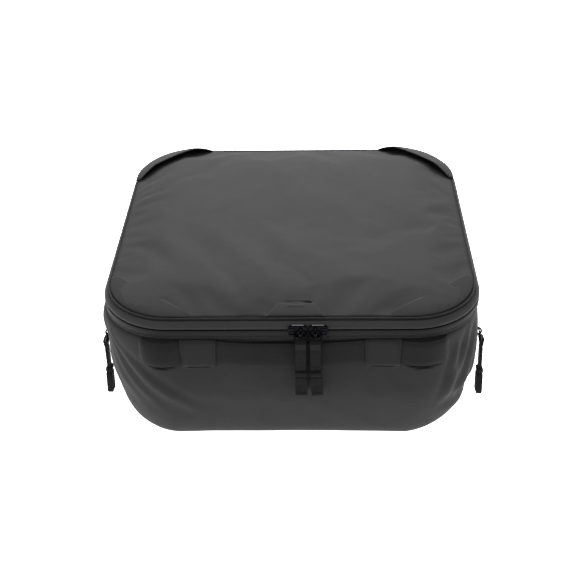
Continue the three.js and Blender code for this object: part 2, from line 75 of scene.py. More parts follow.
# %% Camera
ELEVATION = math.radians(35)
TURN = math.radians(1.84)
TILT = math.radians(-1.32)
DISTANCE = 1104
AIM = Vector((-4.5, 0, 76.2))
SENSOR = 36
LENS = 63.5586

across = math.cos(ELEVATION)
back = Vector((math.sin(TURN) * across, -math.cos(TURN) * across, math.sin(ELEVATION)))
level = Vector((math.cos(TURN), math.sin(TURN), 0))
right = level * math.cos(TILT) + back.cross(level) * math.sin(TILT)
camera_data = bpy.data.cameras.new("camera")
camera_data.sensor_width = SENSOR
camera_data.lens = LENS
camera = bpy.data.objects.new("camera", camera_data)
turn = Matrix((right, back.cross(right), back)).transposed().to_4x4()
camera.matrix_world = Matrix.Translation((AIM + back * DISTANCE) * MM) @ turn
bpy.context.scene.collection.objects.link(camera)
bpy.context.scene.camera = camera

# %% [markdown]
# ## Floor and light
# The floor is white and glows from the cube back, like a light table, so it shows no shadow and throws
# light up onto the walls, most of all near the base. Further in front the glow is weaker. The sky is
# dim. One soft lamp stands above and behind, which makes the lid's rear lighter than its front, and one
# straight above lifts the whole lid. Two at the sides pick out the corners, and a small one in front
# gives the plated sliders their points of light.


# %% Floor and lamps
def studio_white(strength):
    world = bpy.data.worlds.new("studio")
    world.use_nodes = True
    sky = world.node_tree.nodes["Background"]
    sky.inputs["Color"].default_value = (1, 1, 1, 1)
    sky.inputs["Strength"].default_value = strength
    bpy.context.scene.world = world


def soft_lamp(name, place, aim, size, power):
    data = bpy.data.lights.new(name, "AREA")
    data.size = size
    data.energy = power
    lamp = bpy.data.objects.new(name, data)
    lamp.location = place
    lamp.rotation_euler = (Vector(aim) - Vector(place)).to_track_quat("-Z", "Y").to_euler()
    bpy.context.scene.collection.objects.link(lamp)


studio_white(0.30)
soft_lamp("top_rear_lamp", (0.0, 0.62, 0.80), (0, 0, 0.15), 0.5, 18)
soft_lamp("top_lamp", (0.0, -0.3, 1.6), (0, 0, 0.1), 0.7, 11)
soft_lamp("left_lamp", (-0.9, -0.25, 0.35), (0, 0, 0.1), 0.4, 1.6)
soft_lamp("right_lamp", (0.9, -0.2, 0.35), (0, 0, 0.1), 0.4, 1.0)
soft_lamp("front_lamp", (-0.30, -0.7, 1.0), (0, -0.16, 0.15), 0.08, 0.5)
bpy.context.scene.view_settings.view_transform = "Standard"

bpy.ops.mesh.primitive_plane_add(size=12, location=(0, 3, -0.0005))
floor = bpy.context.object
floor.name = "floor"

# %% [markdown]
# ## Materials
# Each is named for the real stuff and how it is made. Cloth reads its piece's own UV map, which is
# measured in millimetres along the cloth, so threads keep one size and follow every fold.


# %% Colour and node helpers
def linear(hex_colour, alpha=1.0):
    values = [int(hex_colour[i : i + 2], 16) / 255 for i in (1, 3, 5)]
    return (*[v / 12.92 if v <= 0.04045 else ((v + 0.055) / 1.055) ** 2.4 for v in values], alpha)


def add_node(tree, kind, inputs=(), **settings):
    """Adds one node. inputs pairs a socket with a value or with another node's output."""
    node = tree.nodes.new(kind)
    for key, value in settings.items():
        setattr(node, key, value)
    for socket, value in dict(inputs).items():
        if isinstance(value, bpy.types.NodeSocket):
            tree.links.new(value, node.inputs[socket])
        else:
            node.inputs[socket].default_value = value
    return node


def new_finish(name, roughness, metallic=0.0, ior=1.5, sheen=0.0, sheen_roughness=0.5, coat=0.0):
    """A material with its shader, and the shader's constant sockets set."""
    material = bpy.data.materials.new(name)
    material.use_nodes = True
    shader = material.node_tree.nodes["Principled BSDF"]
    shader.inputs["Roughness"].default_value = roughness
    shader.inputs["Metallic"].default_value = metallic
    shader.inputs["IOR"].default_value = ior
    shader.inputs["Sheen Weight"].default_value = sheen
    shader.inputs["Sheen Roughness"].default_value = sheen_roughness
    shader.inputs["Coat Weight"].default_value = coat
    return material, material.node_tree, shader


def mixed_colour(tree, factor, dark, light):
    mix = add_node(tree, "ShaderNodeMix", {0: factor, 6: linear(dark), 7: linear(light)}, data_type="RGBA")
    return mix.outputs[2]


def math_node(tree, operation, a, b=0.0):
    return add_node(tree, "ShaderNodeMath", {0: a, 1: b}, operation=operation).outputs[0]


# %% [markdown]
# ### Cloth
# A weave is two sets of threads that cross. Two wave textures, one along each direction of the cloth,
# give the threads, and a stretched noise makes some threads a little thicker, as in real yarn. The real
# threads lie 0.4 mm apart, too fine to show from a metre away, so they are drawn 0.9 mm apart.


# %% Woven cloth
def woven(name, dark, light, thread, depth, roughness, sheen, mottle=0.35, ribs=0.0, rib_axis="Y"):
    material, tree, shader = new_finish(name, roughness, ior=1.22, sheen=sheen, sheen_roughness=0.5)
    cloth = add_node(tree, "ShaderNodeTexCoord").outputs["UV"]
    # A wave texture's bands lie 2 pi / (20 * scale) apart.
    scale = 2 * math.pi / 20 / thread
    warp = add_node(tree, "ShaderNodeTexWave", {"Vector": cloth, "Scale": scale, "Distortion": 0.6,
                                                "Detail": 1.0}, bands_direction="X").outputs[1]
    weft = add_node(tree, "ShaderNodeTexWave", {"Vector": cloth, "Scale": scale, "Distortion": 0.6,
                                                "Detail": 1.0}, bands_direction="Y").outputs[1]
    stretch = add_node(tree, "ShaderNodeMapping", {"Vector": cloth, "Scale": (0.06, 1.3, 1.0)}).outputs[0]
    yarn = add_node(tree, "ShaderNodeTexNoise", {"Vector": stretch, "Scale": 1.0, "Detail": 2.0}).outputs[0]
    cloud = add_node(tree, "ShaderNodeTexNoise", {"Vector": cloth, "Scale": 0.02, "Detail": 4.0,
                                                  "Roughness": 0.6}).outputs[0]
    threads = math_node(tree, "MULTIPLY", warp, weft)
    if ribs:
        threads = add_node(tree, "ShaderNodeTexWave", {"Vector": cloth, "Scale": 2 * math.pi / 20 / ribs},
                           bands_direction=rib_axis).outputs[1]
        threads = math_node(tree, "MULTIPLY", threads, math_node(tree, "ADD", weft, 0.6))
    height = math_node(tree, "ADD", threads, yarn)
    tone = math_node(tree, "MULTIPLY", threads, 0.35)
    tone = math_node(tree, "ADD", tone, math_node(tree, "MULTIPLY", yarn, 0.3))
    tone = math_node(tree, "ADD", tone, math_node(tree, "MULTIPLY", cloud, mottle))
    bump = add_node(tree, "ShaderNodeBump", {"Height": height, "Strength": 0.5, "Distance": depth * MM})
    tree.links.new(mixed_colour(tree, tone, dark, light), shader.inputs["Base Color"])
    tree.links.new(bump.outputs[0], shader.inputs["Normal"])
    return material


# The outer nylon is matt charcoal, with a slight bloom where it turns away from the eye.
NYLON = woven("woven nylon", "#222223", "#3a3a3b", 0.9, 0.10, 0.85, 0.03)
# The patches are the same cloth with a smooth coating, a little darker.
COATED = woven("coated woven nylon", "#1f1f20", "#303031", 0.9, 0.04, 0.75, 0.02)
# Zip tape with a polyurethane coat has a low, even gloss. Its dark colour is partly the tape's own and partly
# painted shade, for the lower band that faces down, away from the lamps.
SHADE_DARKENED_TAPE = woven("coated zip tape with painted shade", "#19191a", "#262627", 1.2, 0.04, 0.7, 0.02)
# The band above the zip is cut from the shell's cloth, coated. Its lighter colour is painted top light, for a
# band that faces up to the lamps, so it is a little lighter than the lid and much lighter than the tape
# below.
TOP_LIT_BAND_CLOTH = woven("coated band cloth with painted top light", "#2a2a2b", "#414142", 0.9, 0.04, 0.7, 0.02)
# Webbing is a thick weave with fine ribs along it.
WEBBING = woven("ribbed nylon webbing", "#0f0f10", "#242425", 0.9, 0.08, 0.8, 0.03, mottle=0.7, ribs=1.7)
# The pulls' narrow webbing is dyed darker, and its ribs run across it.
PULL_WEBBING = woven("narrow black webbing", "#070708", "#141415", 0.8, 0.2, 0.7, 0.03, ribs=1.6,
                     rib_axis="X")
LINING = woven("polyester lining", "#55585b", "#74787b", 0.8, 0.08, 0.8, 0.05)
THREAD = woven("polyester sewing thread", "#1a1a1b", "#2c2c2d", 0.3, 0.05, 0.7, 0.02)


# %% [markdown]
# ### Foam, coil, plated metal and moulded rubber
# These read Object coordinates in metres, scaled to millimetres. Foam shows its cells, the coil is
# plain nylon line, the sliders are die-cast zinc with a black nickel plate that shows soft polishing
# marks, and the grips are moulded rubber with a fine grain from the mould.


# %% Grained finishes
def grained(name, dark, light, grain, depth, roughness, metallic=0.0, coat=0.0, cells=False, ior=1.5):
    material, tree, shader = new_finish(name, roughness, metallic, ior, coat=coat)
    place = add_node(tree, "ShaderNodeTexCoord").outputs["Object"]
    scale = 1 / (grain * MM)
    kind = "ShaderNodeTexVoronoi" if cells else "ShaderNodeTexNoise"
    fine = add_node(tree, kind, {"Vector": place, "Scale": scale}).outputs[0]
    broad = add_node(tree, "ShaderNodeTexNoise", {"Vector": place, "Scale": scale / 12,
                                                  "Detail": 3.0}).outputs[0]
    bump = add_node(tree, "ShaderNodeBump", {"Height": fine, "Strength": 0.4, "Distance": depth * MM})
    rough = add_node(tree, "ShaderNodeMapRange", {"Value": broad, "To Min": roughness * 0.75,
                                                  "To Max": roughness * 1.25}).outputs[0]
    tree.links.new(mixed_colour(tree, broad, dark, light), shader.inputs["Base Color"])
    tree.links.new(bump.outputs[0], shader.inputs["Normal"])
    tree.links.new(rough, shader.inputs["Roughness"])
    return material


FOAM = grained("closed-cell foam", "#3c3d40", "#505155", 0.8, 0.2, 0.95, cells=True)
COIL = grained("nylon zip coil", "#1c1c1d", "#2a2a2b", 0.5, 0.03, 0.5)
PLATED = grained("black nickel plated zinc", "#0c0c0d", "#17171a", 1.2, 0.01, 0.15, metallic=1.0)
RUBBER = grained("moulded rubber", "#0a0a0a", "#151516", 0.4, 0.03, 0.8, ior=1.25)
PALE = grained("glowing white table", "#fdfdfd", "#ffffff", 40, 0.0, 0.9)
table_shader = PALE.node_tree.nodes["Principled BSDF"]
table_shader.inputs["Emission Color"].default_value = (1, 1, 1, 1)
table_place = add_node(PALE.node_tree, "ShaderNodeTexCoord").outputs["Object"]
table_y = add_node(PALE.node_tree, "ShaderNodeSeparateXYZ", {0: table_place}).outputs[1]
# The plane's own origin lies 3 m behind the cube.
glow = add_node(PALE.node_tree, "ShaderNodeMapRange", {"Value": table_y, "From Min": -3.36, "From Max": -3.18,
                                                       "To Min": 0.45, "To Max": 1.6})
PALE.node_tree.links.new(glow.outputs[0], table_shader.inputs["Emission Strength"])
floor.data.materials.append(PALE)

# %% [markdown]
# ## The rim's outline
# Everything round the cube follows one rounded rectangle, the rim. A place on it is `s`, the distance
# from the middle of the front, positive to the right, and `out`, how far outside the rim it lies. The
# sizes come from the rim band that the frame holds.

# %% Outline
band_low, band_high = box_mm("lower_rim_band")
BAND_OUT = 0.9
HALF_W = band_high.x - BAND_OUT
HALF_D = band_high.y - BAND_OUT
CORNER = 66
RIM_LOW = band_low.z
SEAM_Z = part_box("lid_panel")[0].z / MM + 1.2
SEAM_INSET = 4.5
ZIP_Z = (band_high.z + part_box("upper_rim_band")[0].z / MM) / 2
FRONT_HALF = HALF_W - CORNER
ARC = CORNER * math.pi / 2
S_SIDE = FRONT_HALF + ARC
S_REAR_CORNER = S_SIDE + 2 * (HALF_D - CORNER)
S_REAR = S_REAR_CORNER + ARC
HALF_ROUND = S_REAR + FRONT_HALF
print("rim:", round(2 * HALF_W), "by", round(2 * HALF_D), "mm,", round(2 * HALF_ROUND), "mm round")


def outline(s, out):
    """The point at s on the rim, moved out along the outline's normal."""
    side = 1 if s >= 0 else -1
    a = abs(s)
    reach = CORNER + out
    cx, cy = HALF_W - CORNER, HALF_D - CORNER
    if a <= FRONT_HALF:
        x, y = a, -cy - reach
    elif a <= S_SIDE:
        turned = (a - FRONT_HALF) / CORNER
        x, y = cx + reach * math.sin(turned), -cy - reach * math.cos(turned)
    elif a <= S_REAR_CORNER:
        x, y = cx + reach, -cy + (a - S_SIDE)
    elif a <= S_REAR:
        turned = (a - S_REAR_CORNER) / CORNER
        x, y = cx + reach * math.cos(turned), cy + reach * math.sin(turned)
    else:
        x, y = FRONT_HALF - (a - S_REAR), cy + reach
    return side * x, y


def steps(start, end, pitch):
    count = max(1, round(abs(end - start) / pitch))
    return [start + (end - start) * i / count for i in range(count + 1)]


# %% [markdown]
# ## Cloth as a grid
# Most soft pieces are a grid of points: one direction runs round the cube and the other across the
# cloth. One helper turns such rows into a mesh, gives it a UV map in millimetres, welds the places
# where rows meet, and points the faces outwards.


# %% Grid helper
def weld(piece, distance=0.02, outwards=True):
    mesh = bmesh.new()
    mesh.from_mesh(piece.data)
    bmesh.ops.remove_doubles(mesh, verts=mesh.verts, dist=distance * MM)
    bmesh.ops.dissolve_degenerate(mesh, edges=mesh.edges, dist=distance * MM / 4)
    loose = [v for v in mesh.verts if not v.link_faces]
    bmesh.ops.delete(mesh, geom=loose, context="VERTS")
    if outwards:
        bmesh.ops.recalc_face_normals(mesh, faces=mesh.faces)
    mesh.to_mesh(piece.data)
    mesh.free()


def new_piece(name, points, faces, finish):
    """A mesh object from points in mm."""
    mesh = bpy.data.meshes.new(name)
    mesh.from_pydata([Vector(p) * MM for p in points], [], faces)
    mesh.materials.append(finish)
    piece = bpy.data.objects.new(name, mesh)
    bpy.context.scene.collection.objects.link(piece)
    return piece


def cloth_grid(name, rows, finish, uv=None, smooth=40):
    """A mesh from rows of points in mm. uv gives the same rows as places on the cloth, in mm."""
    width = len(rows[0])
    faces = []
    for r in range(len(rows) - 1):
        for c in range(width - 1):
            a = r * width + c
            faces.append((a, a + 1, a + width + 1, a + width))
    piece = new_piece(name, [p for row in rows for p in row], faces, finish)
    layer = piece.data.uv_layers.new(name="cloth")
    places = [q for row in uv for q in row] if uv else measured(rows)
    for loop in piece.data.loops:
        layer.data[loop.index].uv = places[loop.vertex_index]
    weld(piece)
    round_off(piece, smooth)
    return piece


def measured(rows):
    """Places on the cloth worked out from how far apart the points are."""
    places = []
    down = [0.0] * len(rows[0])
    for r, row in enumerate(rows):
        across = 0.0
        for c, point in enumerate(row):
            if c:
                across += math.dist(point, row[c - 1])
            if r:
                down[c] += math.dist(point, rows[r - 1][c])
            places.append((across, down[c]))
    return places


def only(piece):
    """Makes this the one selected object."""
    bpy.ops.object.select_all(action="DESELECT")
    piece.select_set(True)
    bpy.context.view_layer.objects.active = piece


def apply(piece, modifier):
    only(piece)
    bpy.ops.object.modifier_apply(modifier=modifier.name)


def round_off(piece, degrees):
    only(piece)
    bpy.ops.object.shade_smooth_by_angle(angle=math.radians(degrees))


def place(piece, body, slot, *nodes):
    """The piece moves with a CAD body and stands for CAD nodes. slot is not used."""
    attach(piece, body)
    if nodes:
        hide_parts(*nodes)
    return piece


# %% [markdown]
# ## The tub's wall
# The wall leaves the rim, bulges a little, and turns under at the base. It is drawn as a smooth curve
# through a few places. Real cloth over foam is never that even, so a relief is added: creases that run
# from the rim's corners down and inwards, where the cloth is pulled round the corner, a hollow under
# each end loop of the handle, a sag between the handle's keepers, and a slow unevenness everywhere.

# %% Wall profile
WALL = [(42, 0), (29, 1.5), (19, 6), (11, 16), (5.5, 34), (0.5, 58), (-2, 76), (-2, 104), (-1, 120),
        (0.4, RIM_LOW - 4), (4.2, RIM_LOW + 0.6)]


def along_curve(points, t):
    """A smooth curve through the points, with t counted in points."""
    i = min(int(t), len(points) - 2)
    f = t - i
    before, a, b, after = (points[min(max(k, 0), len(points) - 1)] for k in (i - 1, i, i + 1, i + 2))
    return [
        0.5 * (2 * q + (r - p) * f + (2 * p - 5 * q + 4 * r - w) * f * f + (3 * q - p - 3 * r + w) * f**3)
        for p, q, r, w in zip(before, a, b, after)
    ]


# %% Relief
# Each crease runs from one place to another on the wall, given as (s, z), with its width and height.
CREASES = [
    ((-202, 124), (-150, 60), 4.5, 1.6),
    ((-190, 122), (-134, 62), 3.2, 2.2),
    ((-174, 120), (-114, 62), 3.0, 2.4),
    ((-158, 112), (-100, 58), 2.8, 2.0),
    ((-216, 122), (-176, 62), 7.0, 1.4),
    ((158, 120), (149, 62), 3.2, 3.2),
    ((176, 124), (156, 72), 3.4, 2.6),
    ((194, 120), (166, 58), 4.0, 3.4),
    ((214, 122), (190, 66), 5.5, 1.6),
    ((150, 50), (210, 50), 6.5, -3.4),
    ((-430, 126), (-370, 66), 6.0, 1.4),
    ((420, 126), (372, 70), 6.0, 1.4),
    ((-452, 122), (-400, 60), 5.0, -1.4),
    ((446, 122), (398, 58), 5.0, -1.4),
]
CREASE_SHARE = 0.7  # how much of the heights above is used
SPREAD = 1.5  # and how much wider each crease is drawn
# The hollows under the handle's end loops: their middle and half length along the wall.
HOLLOWS = [(-121, 17), (124, 21)]
HOLLOW_DEEP = 6.0
web_low, web_high = box_mm("handle_webbing")
SIDE_ZIP_Z = sum(corner.z for corner in box_mm("left_pocket_slider")) / 2


def smooth_step(low, high, value):
    t = min(1.0, max(0.0, (value - low) / (high - low)))
    return t * t * (3 - 2 * t)


def crease_height(s, z, start, end, width, height):
    """A ridge with a narrower valley beside it, fading out towards both its ends."""
    ax, az = start
    dx, dz = end[0] - ax, end[1] - az
    length = math.hypot(dx, dz)
    t = ((s - ax) * dx + (z - az) * dz) / length**2
    if not -0.15 < t < 1.25:
        return 0.0
    aside = ((s - ax) * dz - (z - az) * dx) / length
    aside /= SPREAD * width * (0.75 + 0.5 * max(0.0, t))
    fade = max(0.0, math.sin(math.pi * min(1.0, max(0.0, (t + 0.15) / 1.4)))) ** 0.8
    valley = math.exp(-(((abs(aside) - 1.7) / 0.8) ** 2))
    return height * fade * (math.exp(-(aside**2)) - 0.55 * valley)


def unevenness(s, z):
    """The slow ups and downs of cloth over foam, with the sag between the handle's keepers."""
    x, y = outline(s, 0)
    slow = noise.noise(Vector((x, y, z * 1.4)) / 62)
    quick = noise.noise(Vector((x + 300, y, z * 1.2)) / 24)
    height = (1.5 * slow + 0.45 * quick) * (0.35 + 0.65 * min(1.0, max(0.0, z / 40)))
    # The wall gives way behind the middle of the handle, and bulges at the left near its front corner.
    height -= 3.2 * math.exp(-((s / 48) ** 2)) * math.exp(-(((z - 132) / 12) ** 2))
    height += 5.5 * math.exp(-(((s + 225) / 75) ** 2)) * math.exp(-(((z - 124) / 14) ** 2))
    return height


def hollow_depth(s, z, lip=True):
    """How deep the hollow is at a place. Without its lower lip, this is what the webbing spans."""
    depth = 0.0
    for middle, half in HOLLOWS:
        across = 1 - ((s - middle) / half) ** 2
        if across > 0:
            edge = web_low.z - 7.5 * across
            inside = smooth_step(edge, edge + 2.5, z) if lip else 1.0
            depth += HOLLOW_DEEP * across**0.5 * inside * (1 - smooth_step(119, 130, z))
    return depth


def near_rim(z):
    """The relief dies away towards the rim, where the wall is sewn to a straight tape."""
    return 0.25 + 0.75 * min(1.0, max(0.0, (RIM_LOW - z) / 5))


def beside_zip(s, z):
    """1 where a side pocket's zip is sewn on, so the cloth is flat there."""
    a = abs(s)
    along = smooth_step(S_SIDE - 15, S_SIDE, a) * (1 - smooth_step(S_REAR_CORNER, S_REAR_CORNER + 15, a))
    return along * (1 - smooth_step(8, 15, abs(z - SIDE_ZIP_Z)))


def relief(s, z):
    """How far the cloth lies off the smooth wall at a place, in mm."""
    height = unevenness(s, z)
    near = [crease for crease in CREASES if abs(s - crease[0][0]) < 130]
    height += CREASE_SHARE * sum(crease_height(s, z, *crease) for crease in near)
    height -= hollow_depth(s, z)
    flat = beside_zip(s, z)
    return height * near_rim(z) * (1 - flat) - 0.9 * flat


def inner_relief(s, z):
    """The broad shape of the wall for what lies behind the cloth: set back where the cloth folds in."""
    a = abs(s)
    # The creases lie between these distances along the rim, and between these heights.
    high = smooth_step(20, 42, z) * (1 - smooth_step(128, 137, z))
    front = smooth_step(80, 100, a) * (1 - smooth_step(225, 250, a))
    rear = smooth_step(345, 370, a) * (1 - smooth_step(455, 480, a))
    flat = beside_zip(s, z)
    height = (unevenness(s, z) * near_rim(z) - high * (6.5 * front + 3.0 * rear)) * (1 - flat) - 1.2 * flat
    return height - 0.5


def corner_share(s):
    """1 in the middle of a corner, 0 along the straights."""
    a = abs(s)
    for start in (FRONT_HALF, S_REAR_CORNER):
        if start < a < start + ARC:
            return math.sin(math.pi * (a - start) / ARC)
    return 0.0


UNDERCUT = {-1: 3, 1: 6}  # how much further the base's left and right corners turn under
SHELL, FOAM_TOP, FOAM_DEEP, LINING_TOP, LINING_DEEP = 1.2, 1.6, 6.4, 6.8, 7.6  # depths under the wall
BASE_ARCH = 2.2  # the base lifts this much in the middle of each long side


def wall_point(s, t, inwards=0.0):
    inset, z = along_curve(WALL, t)
    inset += UNDERCUT[1 if s > 0 else -1] * corner_share(s) * max(0.0, 1 - z / 42) ** 1.5
    step = 0.05
    i0, z0 = along_curve(WALL, max(0, t - step))
    i1, z1 = along_curve(WALL, min(len(WALL) - 1, t + step))
    length = math.hypot(z1 - z0, i1 - i0)
    outward, upward = (z1 - z0) / length, (i1 - i0) / length
    off = (inner_relief(s, z) if inwards > 0 else relief(s, z)) - inwards
    x, y = outline(s, -inset + off * outward)
    lift = BASE_ARCH * math.exp(-((x / 75) ** 2)) * max(0.0, 1 - z / 30)
    return x, y, max(z + off * upward + lift, inwards + 0.05)


# %% [markdown]
# The shell is a cup with a thickness: rows of points go from the middle of the base out and up the
# outside to the rim, over the edge, and down the inside again.


# %% Cup helper
COLUMN = 2.2  # mm between columns of points


def cup_rows(outer, inner, columns, pitch, inner_pitch):
    top = len(WALL) - 1
    rows = []
    for inwards, order in ((outer, steps(0, top, pitch)), (inner, steps(top, 0, inner_pitch))):
        wall = [[wall_point(s, t, inwards) for s in columns] for t in order]
        upwards = order[0] == 0
        foot = wall[0] if upwards else wall[-1]
        base = [[(x * k, y * k, z + (1 - k) * 0.4) for x, y, z in foot] for k in (0.0, 0.3, 0.6, 0.85)]
        rows += base + wall if upwards else wall + base[::-1]
    return rows


ROUND = steps(-HALF_ROUND, HALF_ROUND, COLUMN)
BROAD = steps(-HALF_ROUND, HALF_ROUND, 5)
tub_shell = cloth_grid("tub_outer_shell", cup_rows(0, SHELL, ROUND, 0.11, 0.3), NYLON)
place(tub_shell, "tub", "shell_fabric", "tub_shell")
print("shell:", len(tub_shell.data.polygons), "faces")

# %% [markdown]
# Inside the shell lie five foam pads, and the lining covers them. All follow the same wall function at
# their own depth, so the foam never pokes through a fold.

# %% Foam pads
PAD_TURN = ARC * 3 / 8


def wall_pad(name, columns):
    ts = steps(2, len(WALL) - 1, 0.4)
    outer = [[wall_point(s, t, FOAM_TOP) for s in columns] for t in ts]
    inner = [[wall_point(s, t, FOAM_DEEP) for s in columns] for t in ts[::-1]]
    ring = outer + inner + outer[:1]
    pad = cloth_grid(name, ring, FOAM, smooth=50)
    close_ends(pad)
    place(pad, "tub", "foam", name.replace("_cut", ""))


def close_ends(piece):
    mesh = bmesh.new()
    mesh.from_mesh(piece.data)
    open_edges = [e for e in mesh.edges if len(e.link_faces) == 1]
    bmesh.ops.holes_fill(mesh, edges=open_edges, sides=0)
    bmesh.ops.recalc_face_normals(mesh, faces=mesh.faces)
    mesh.to_mesh(piece.data)
    mesh.free()


front_end = FRONT_HALF + PAD_TURN
wall_pad("front_foam_pad_cut", steps(-front_end, front_end, 6))
for side_name, side in (("left", -1), ("right", 1)):
    along_side = steps(side * (S_SIDE - PAD_TURN), side * (S_REAR_CORNER + PAD_TURN), 6)
    wall_pad(side_name + "_foam_pad_cut", along_side)
rear_start = S_REAR - PAD_TURN
rear_right = steps(rear_start, HALF_ROUND, 6)
wall_pad("rear_foam_pad_cut", rear_right + [-s for s in rear_right[::-1][1:]])


def disc_rows(inset, low, high):
    """A flat rounded plate, from the middle of its top, over its edge, to the middle of its underside."""
    rows = []
    for z, order in ((high, [0.0, 0.4, 0.8, 1.0]), (low, [1.0, 0.8, 0.4, 0.0])):
        for k in order:
            rows.append([(outline(s, -inset)[0] * k, outline(s, -inset)[1] * k, z) for s in BROAD])
    return rows


base_low, base_high = box_mm("base_foam_pad")
base_pad = cloth_grid("base_foam_board", disc_rows(41, base_low.z + 0.5, base_high.z), FOAM)
place(base_pad, "tub", "foam", "base_foam_pad")

# %% [markdown]
# The lining is a cup like the shell, and its top edge turns outwards to meet the zip's tape, which
# hides the foam when the lid is open.

# %% Lining
lining_columns = steps(-HALF_ROUND, HALF_ROUND, 8)
lining_rows = cup_rows(LINING_TOP, LINING_DEEP, lining_columns, 0.45, 0.45)
half = len(lining_rows) // 2
LINING_LIP = [(-7.6, 139.6), (-5.4, 141.4), (-3.0, 141.8), (-3.0, 141.0), (-5.2, 140.6), (-7.0, 139.0)]
lip = [[(*outline(s, out), z) for s in lining_columns] for out, z in LINING_LIP[::-1]]
lining = cloth_grid("tub_inner_lining", lining_rows[:half] + lip + lining_rows[half:], LINING)
place(lining, "tub", "lining", "tub_lining")

# %% [markdown]
# ## The rim
# Two bands of coated tape run round the rim with the zip between them. Each is a narrow strip with a
# rounded section, a little proud of the wall, with a fold at its sewn edge. A section is a list of
# (out, z) places, and a helper runs it round the outline.


# %% Strips that follow the outline
def seam_lift(y):
    """The lid's seam droops a little at the front and is drawn up by the pockets at the rear."""
    return -1.0 + 3.0 * smooth_step(-100, HALF_D, y)


def round_strip(name, section, columns, finish, smooth=35):
    rows = []
    for out, z in section + section[:1]:
        row = [(*outline(s, out), z) for s in columns]
        rows.append([(x, y, z + seam_lift(y) * smooth_step(ZIP_Z + 2, SEAM_Z - 1, z)) for x, y, z in row])
    travel = [0.0]
    for a, b in zip(section, section[1:] + section[:1]):
        travel.append(travel[-1] + math.dist(a, b))
    uv = [[(s, v) for s in columns] for v in travel]
    piece = cloth_grid(name, rows, finish, uv, smooth)
    if columns[-1] - columns[0] < 2 * HALF_ROUND - 1:
        close_ends(piece)
    return piece


LOWER_FACE = [(0.3, 0.0), (0.6, 0.3), (0.7, 1.4), (0.5, 2.4), (0.7, 3.4), (1.1, 6.0), (1.2, 8.2), (0.9, 9.3)]
LOWER_BACK = [(-0.1, 9.2), (-0.1, 3.2), (-2.7, 3.2), (-2.7, 0.0)]
UPPER_FACE = [(0.6, 0.0), (0.9, 0.6), (0.9, 1.6), (0.5, 3.0), (-0.3, 4.4), (-1.3, 5.8), (-2.4, 6.9),
              (-3.3, 7.5)]
UPPER_BACK = [(-7.2, 7.7), (-7.2, 5.9), (-0.1, 4.0), (-0.1, 0.0)]
upper_low = box_mm("upper_rim_band")[0]
# The lower band's dark tape colour carries painted shade, and the upper band's lighter cloth colour carries
# painted top light.
lower_section = [(out, RIM_LOW + up) for out, up in LOWER_FACE + LOWER_BACK]
lower_band = round_strip("lower_zip_tape_band", lower_section, ROUND, SHADE_DARKENED_TAPE)
place(lower_band, "tub", "rim_tape", "lower_rim_band")
upper_section = [(out, upper_low.z + up) for out, up in UPPER_FACE + UPPER_BACK]
upper_band = round_strip("upper_zip_tape_band", upper_section, ROUND, TOP_LIT_BAND_CLOTH)
place(upper_band, "lid", "rim_tape", "upper_rim_band")


# %% [markdown]
# ### The zip's coils
# A coil is one nylon line wound into a flat spiral and sewn to the tape's edge. Each turn is drawn as
# a small bevelled bar, 2 mm from the next, on a thin cord that joins them.


# %% Coils
def coil_teeth(name, start, end, where, body, node, pitch=2.0):
    """Small bars along a route. where(s, out, z) gives a point, out and z being the bar's own section."""
    points, faces = [], []
    turn_points = [(-0.55, -1), (0.55, -1), (0.55, 1), (-0.55, 1)]
    for s in steps(start, end, pitch):
        first = len(points)
        for deep, height in ((0.1, 0.25), (0.7, 0.0), (1.7, 0.25)):
            for ds, dz in turn_points:
                z = 0.2 + height if dz < 0 else 3.4 - height
                points.append(where(s + ds * (1 if deep == 0.7 else 0.7), deep, z))
        for ring in (0, 4):
            for k in range(4):
                n = (k + 1) % 4
                faces.append((first + ring + k, first + ring + n, first + ring + 4 + n, first + ring + 4 + k))
        faces.append((first + 3, first + 2, first + 1, first))
        faces.append((first + 8, first + 9, first + 10, first + 11))
    cord = []
    for s in steps(start, end, 6):
        cord.append(len(points))
        points += [where(s, deep, z) for deep, z in ((0.5, 1.4), (1.3, 1.4), (1.3, 2.2), (0.5, 2.2))]
    for a, b in zip(cord, cord[1:]):
        faces += [(a + k, a + (k + 1) % 4, b + (k + 1) % 4, b + k) for k in range(4)]
    faces += [(cord[0] + 3, cord[0] + 2, cord[0] + 1, cord[0]), tuple(cord[-1] + k for k in range(4))]
    piece = new_piece(name, points, faces, COIL)
    weld(piece, 0.001)
    place(piece, body, "zip_coil", node)


COIL_OUT = -0.45
zip_end = S_REAR_CORNER + ARC * 5 / 8
coil_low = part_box("lower_zip_coil")[0].z / MM
coil_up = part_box("upper_zip_coil")[1].z / MM
coil_teeth("lower_coil_teeth", -zip_end, zip_end,
           lambda s, deep, z: (*outline(s, COIL_OUT - deep), coil_low + z), "tub", "lower_zip_coil")
coil_teeth("upper_coil_teeth", -zip_end, zip_end,
           lambda s, deep, z: (*outline(s, COIL_OUT - deep), coil_up - z), "lid", "upper_zip_coil")

# %% [markdown]
# ## The lid
# The lid is one panel of nylon over foam, sewn to the upper band with a thin piping. It is crowned, and
# the cloth is a touch larger than its frame, so it lies in soft diagonal ripples near the front and in
# short puckers along the sides. The ripples are drawn first, and then a cloth simulation, with the
# seam held, lets the panel settle into them.

# %% Lid shape
CROWN = 9
CROWN_REACH = 20


def inside_by(x, y):
    qx, qy = abs(x) - (HALF_W - CORNER), abs(y) - (HALF_D - CORNER)
    return CORNER - math.hypot(max(qx, 0), max(qy, 0)) - min(max(qx, qy), 0)


def crown(x, y):
    inside = max(0.0, inside_by(x, y) - SEAM_INSET)
    return SEAM_Z + CROWN * (1 - math.exp(-inside / CROWN_REACH)) + seam_lift(y)


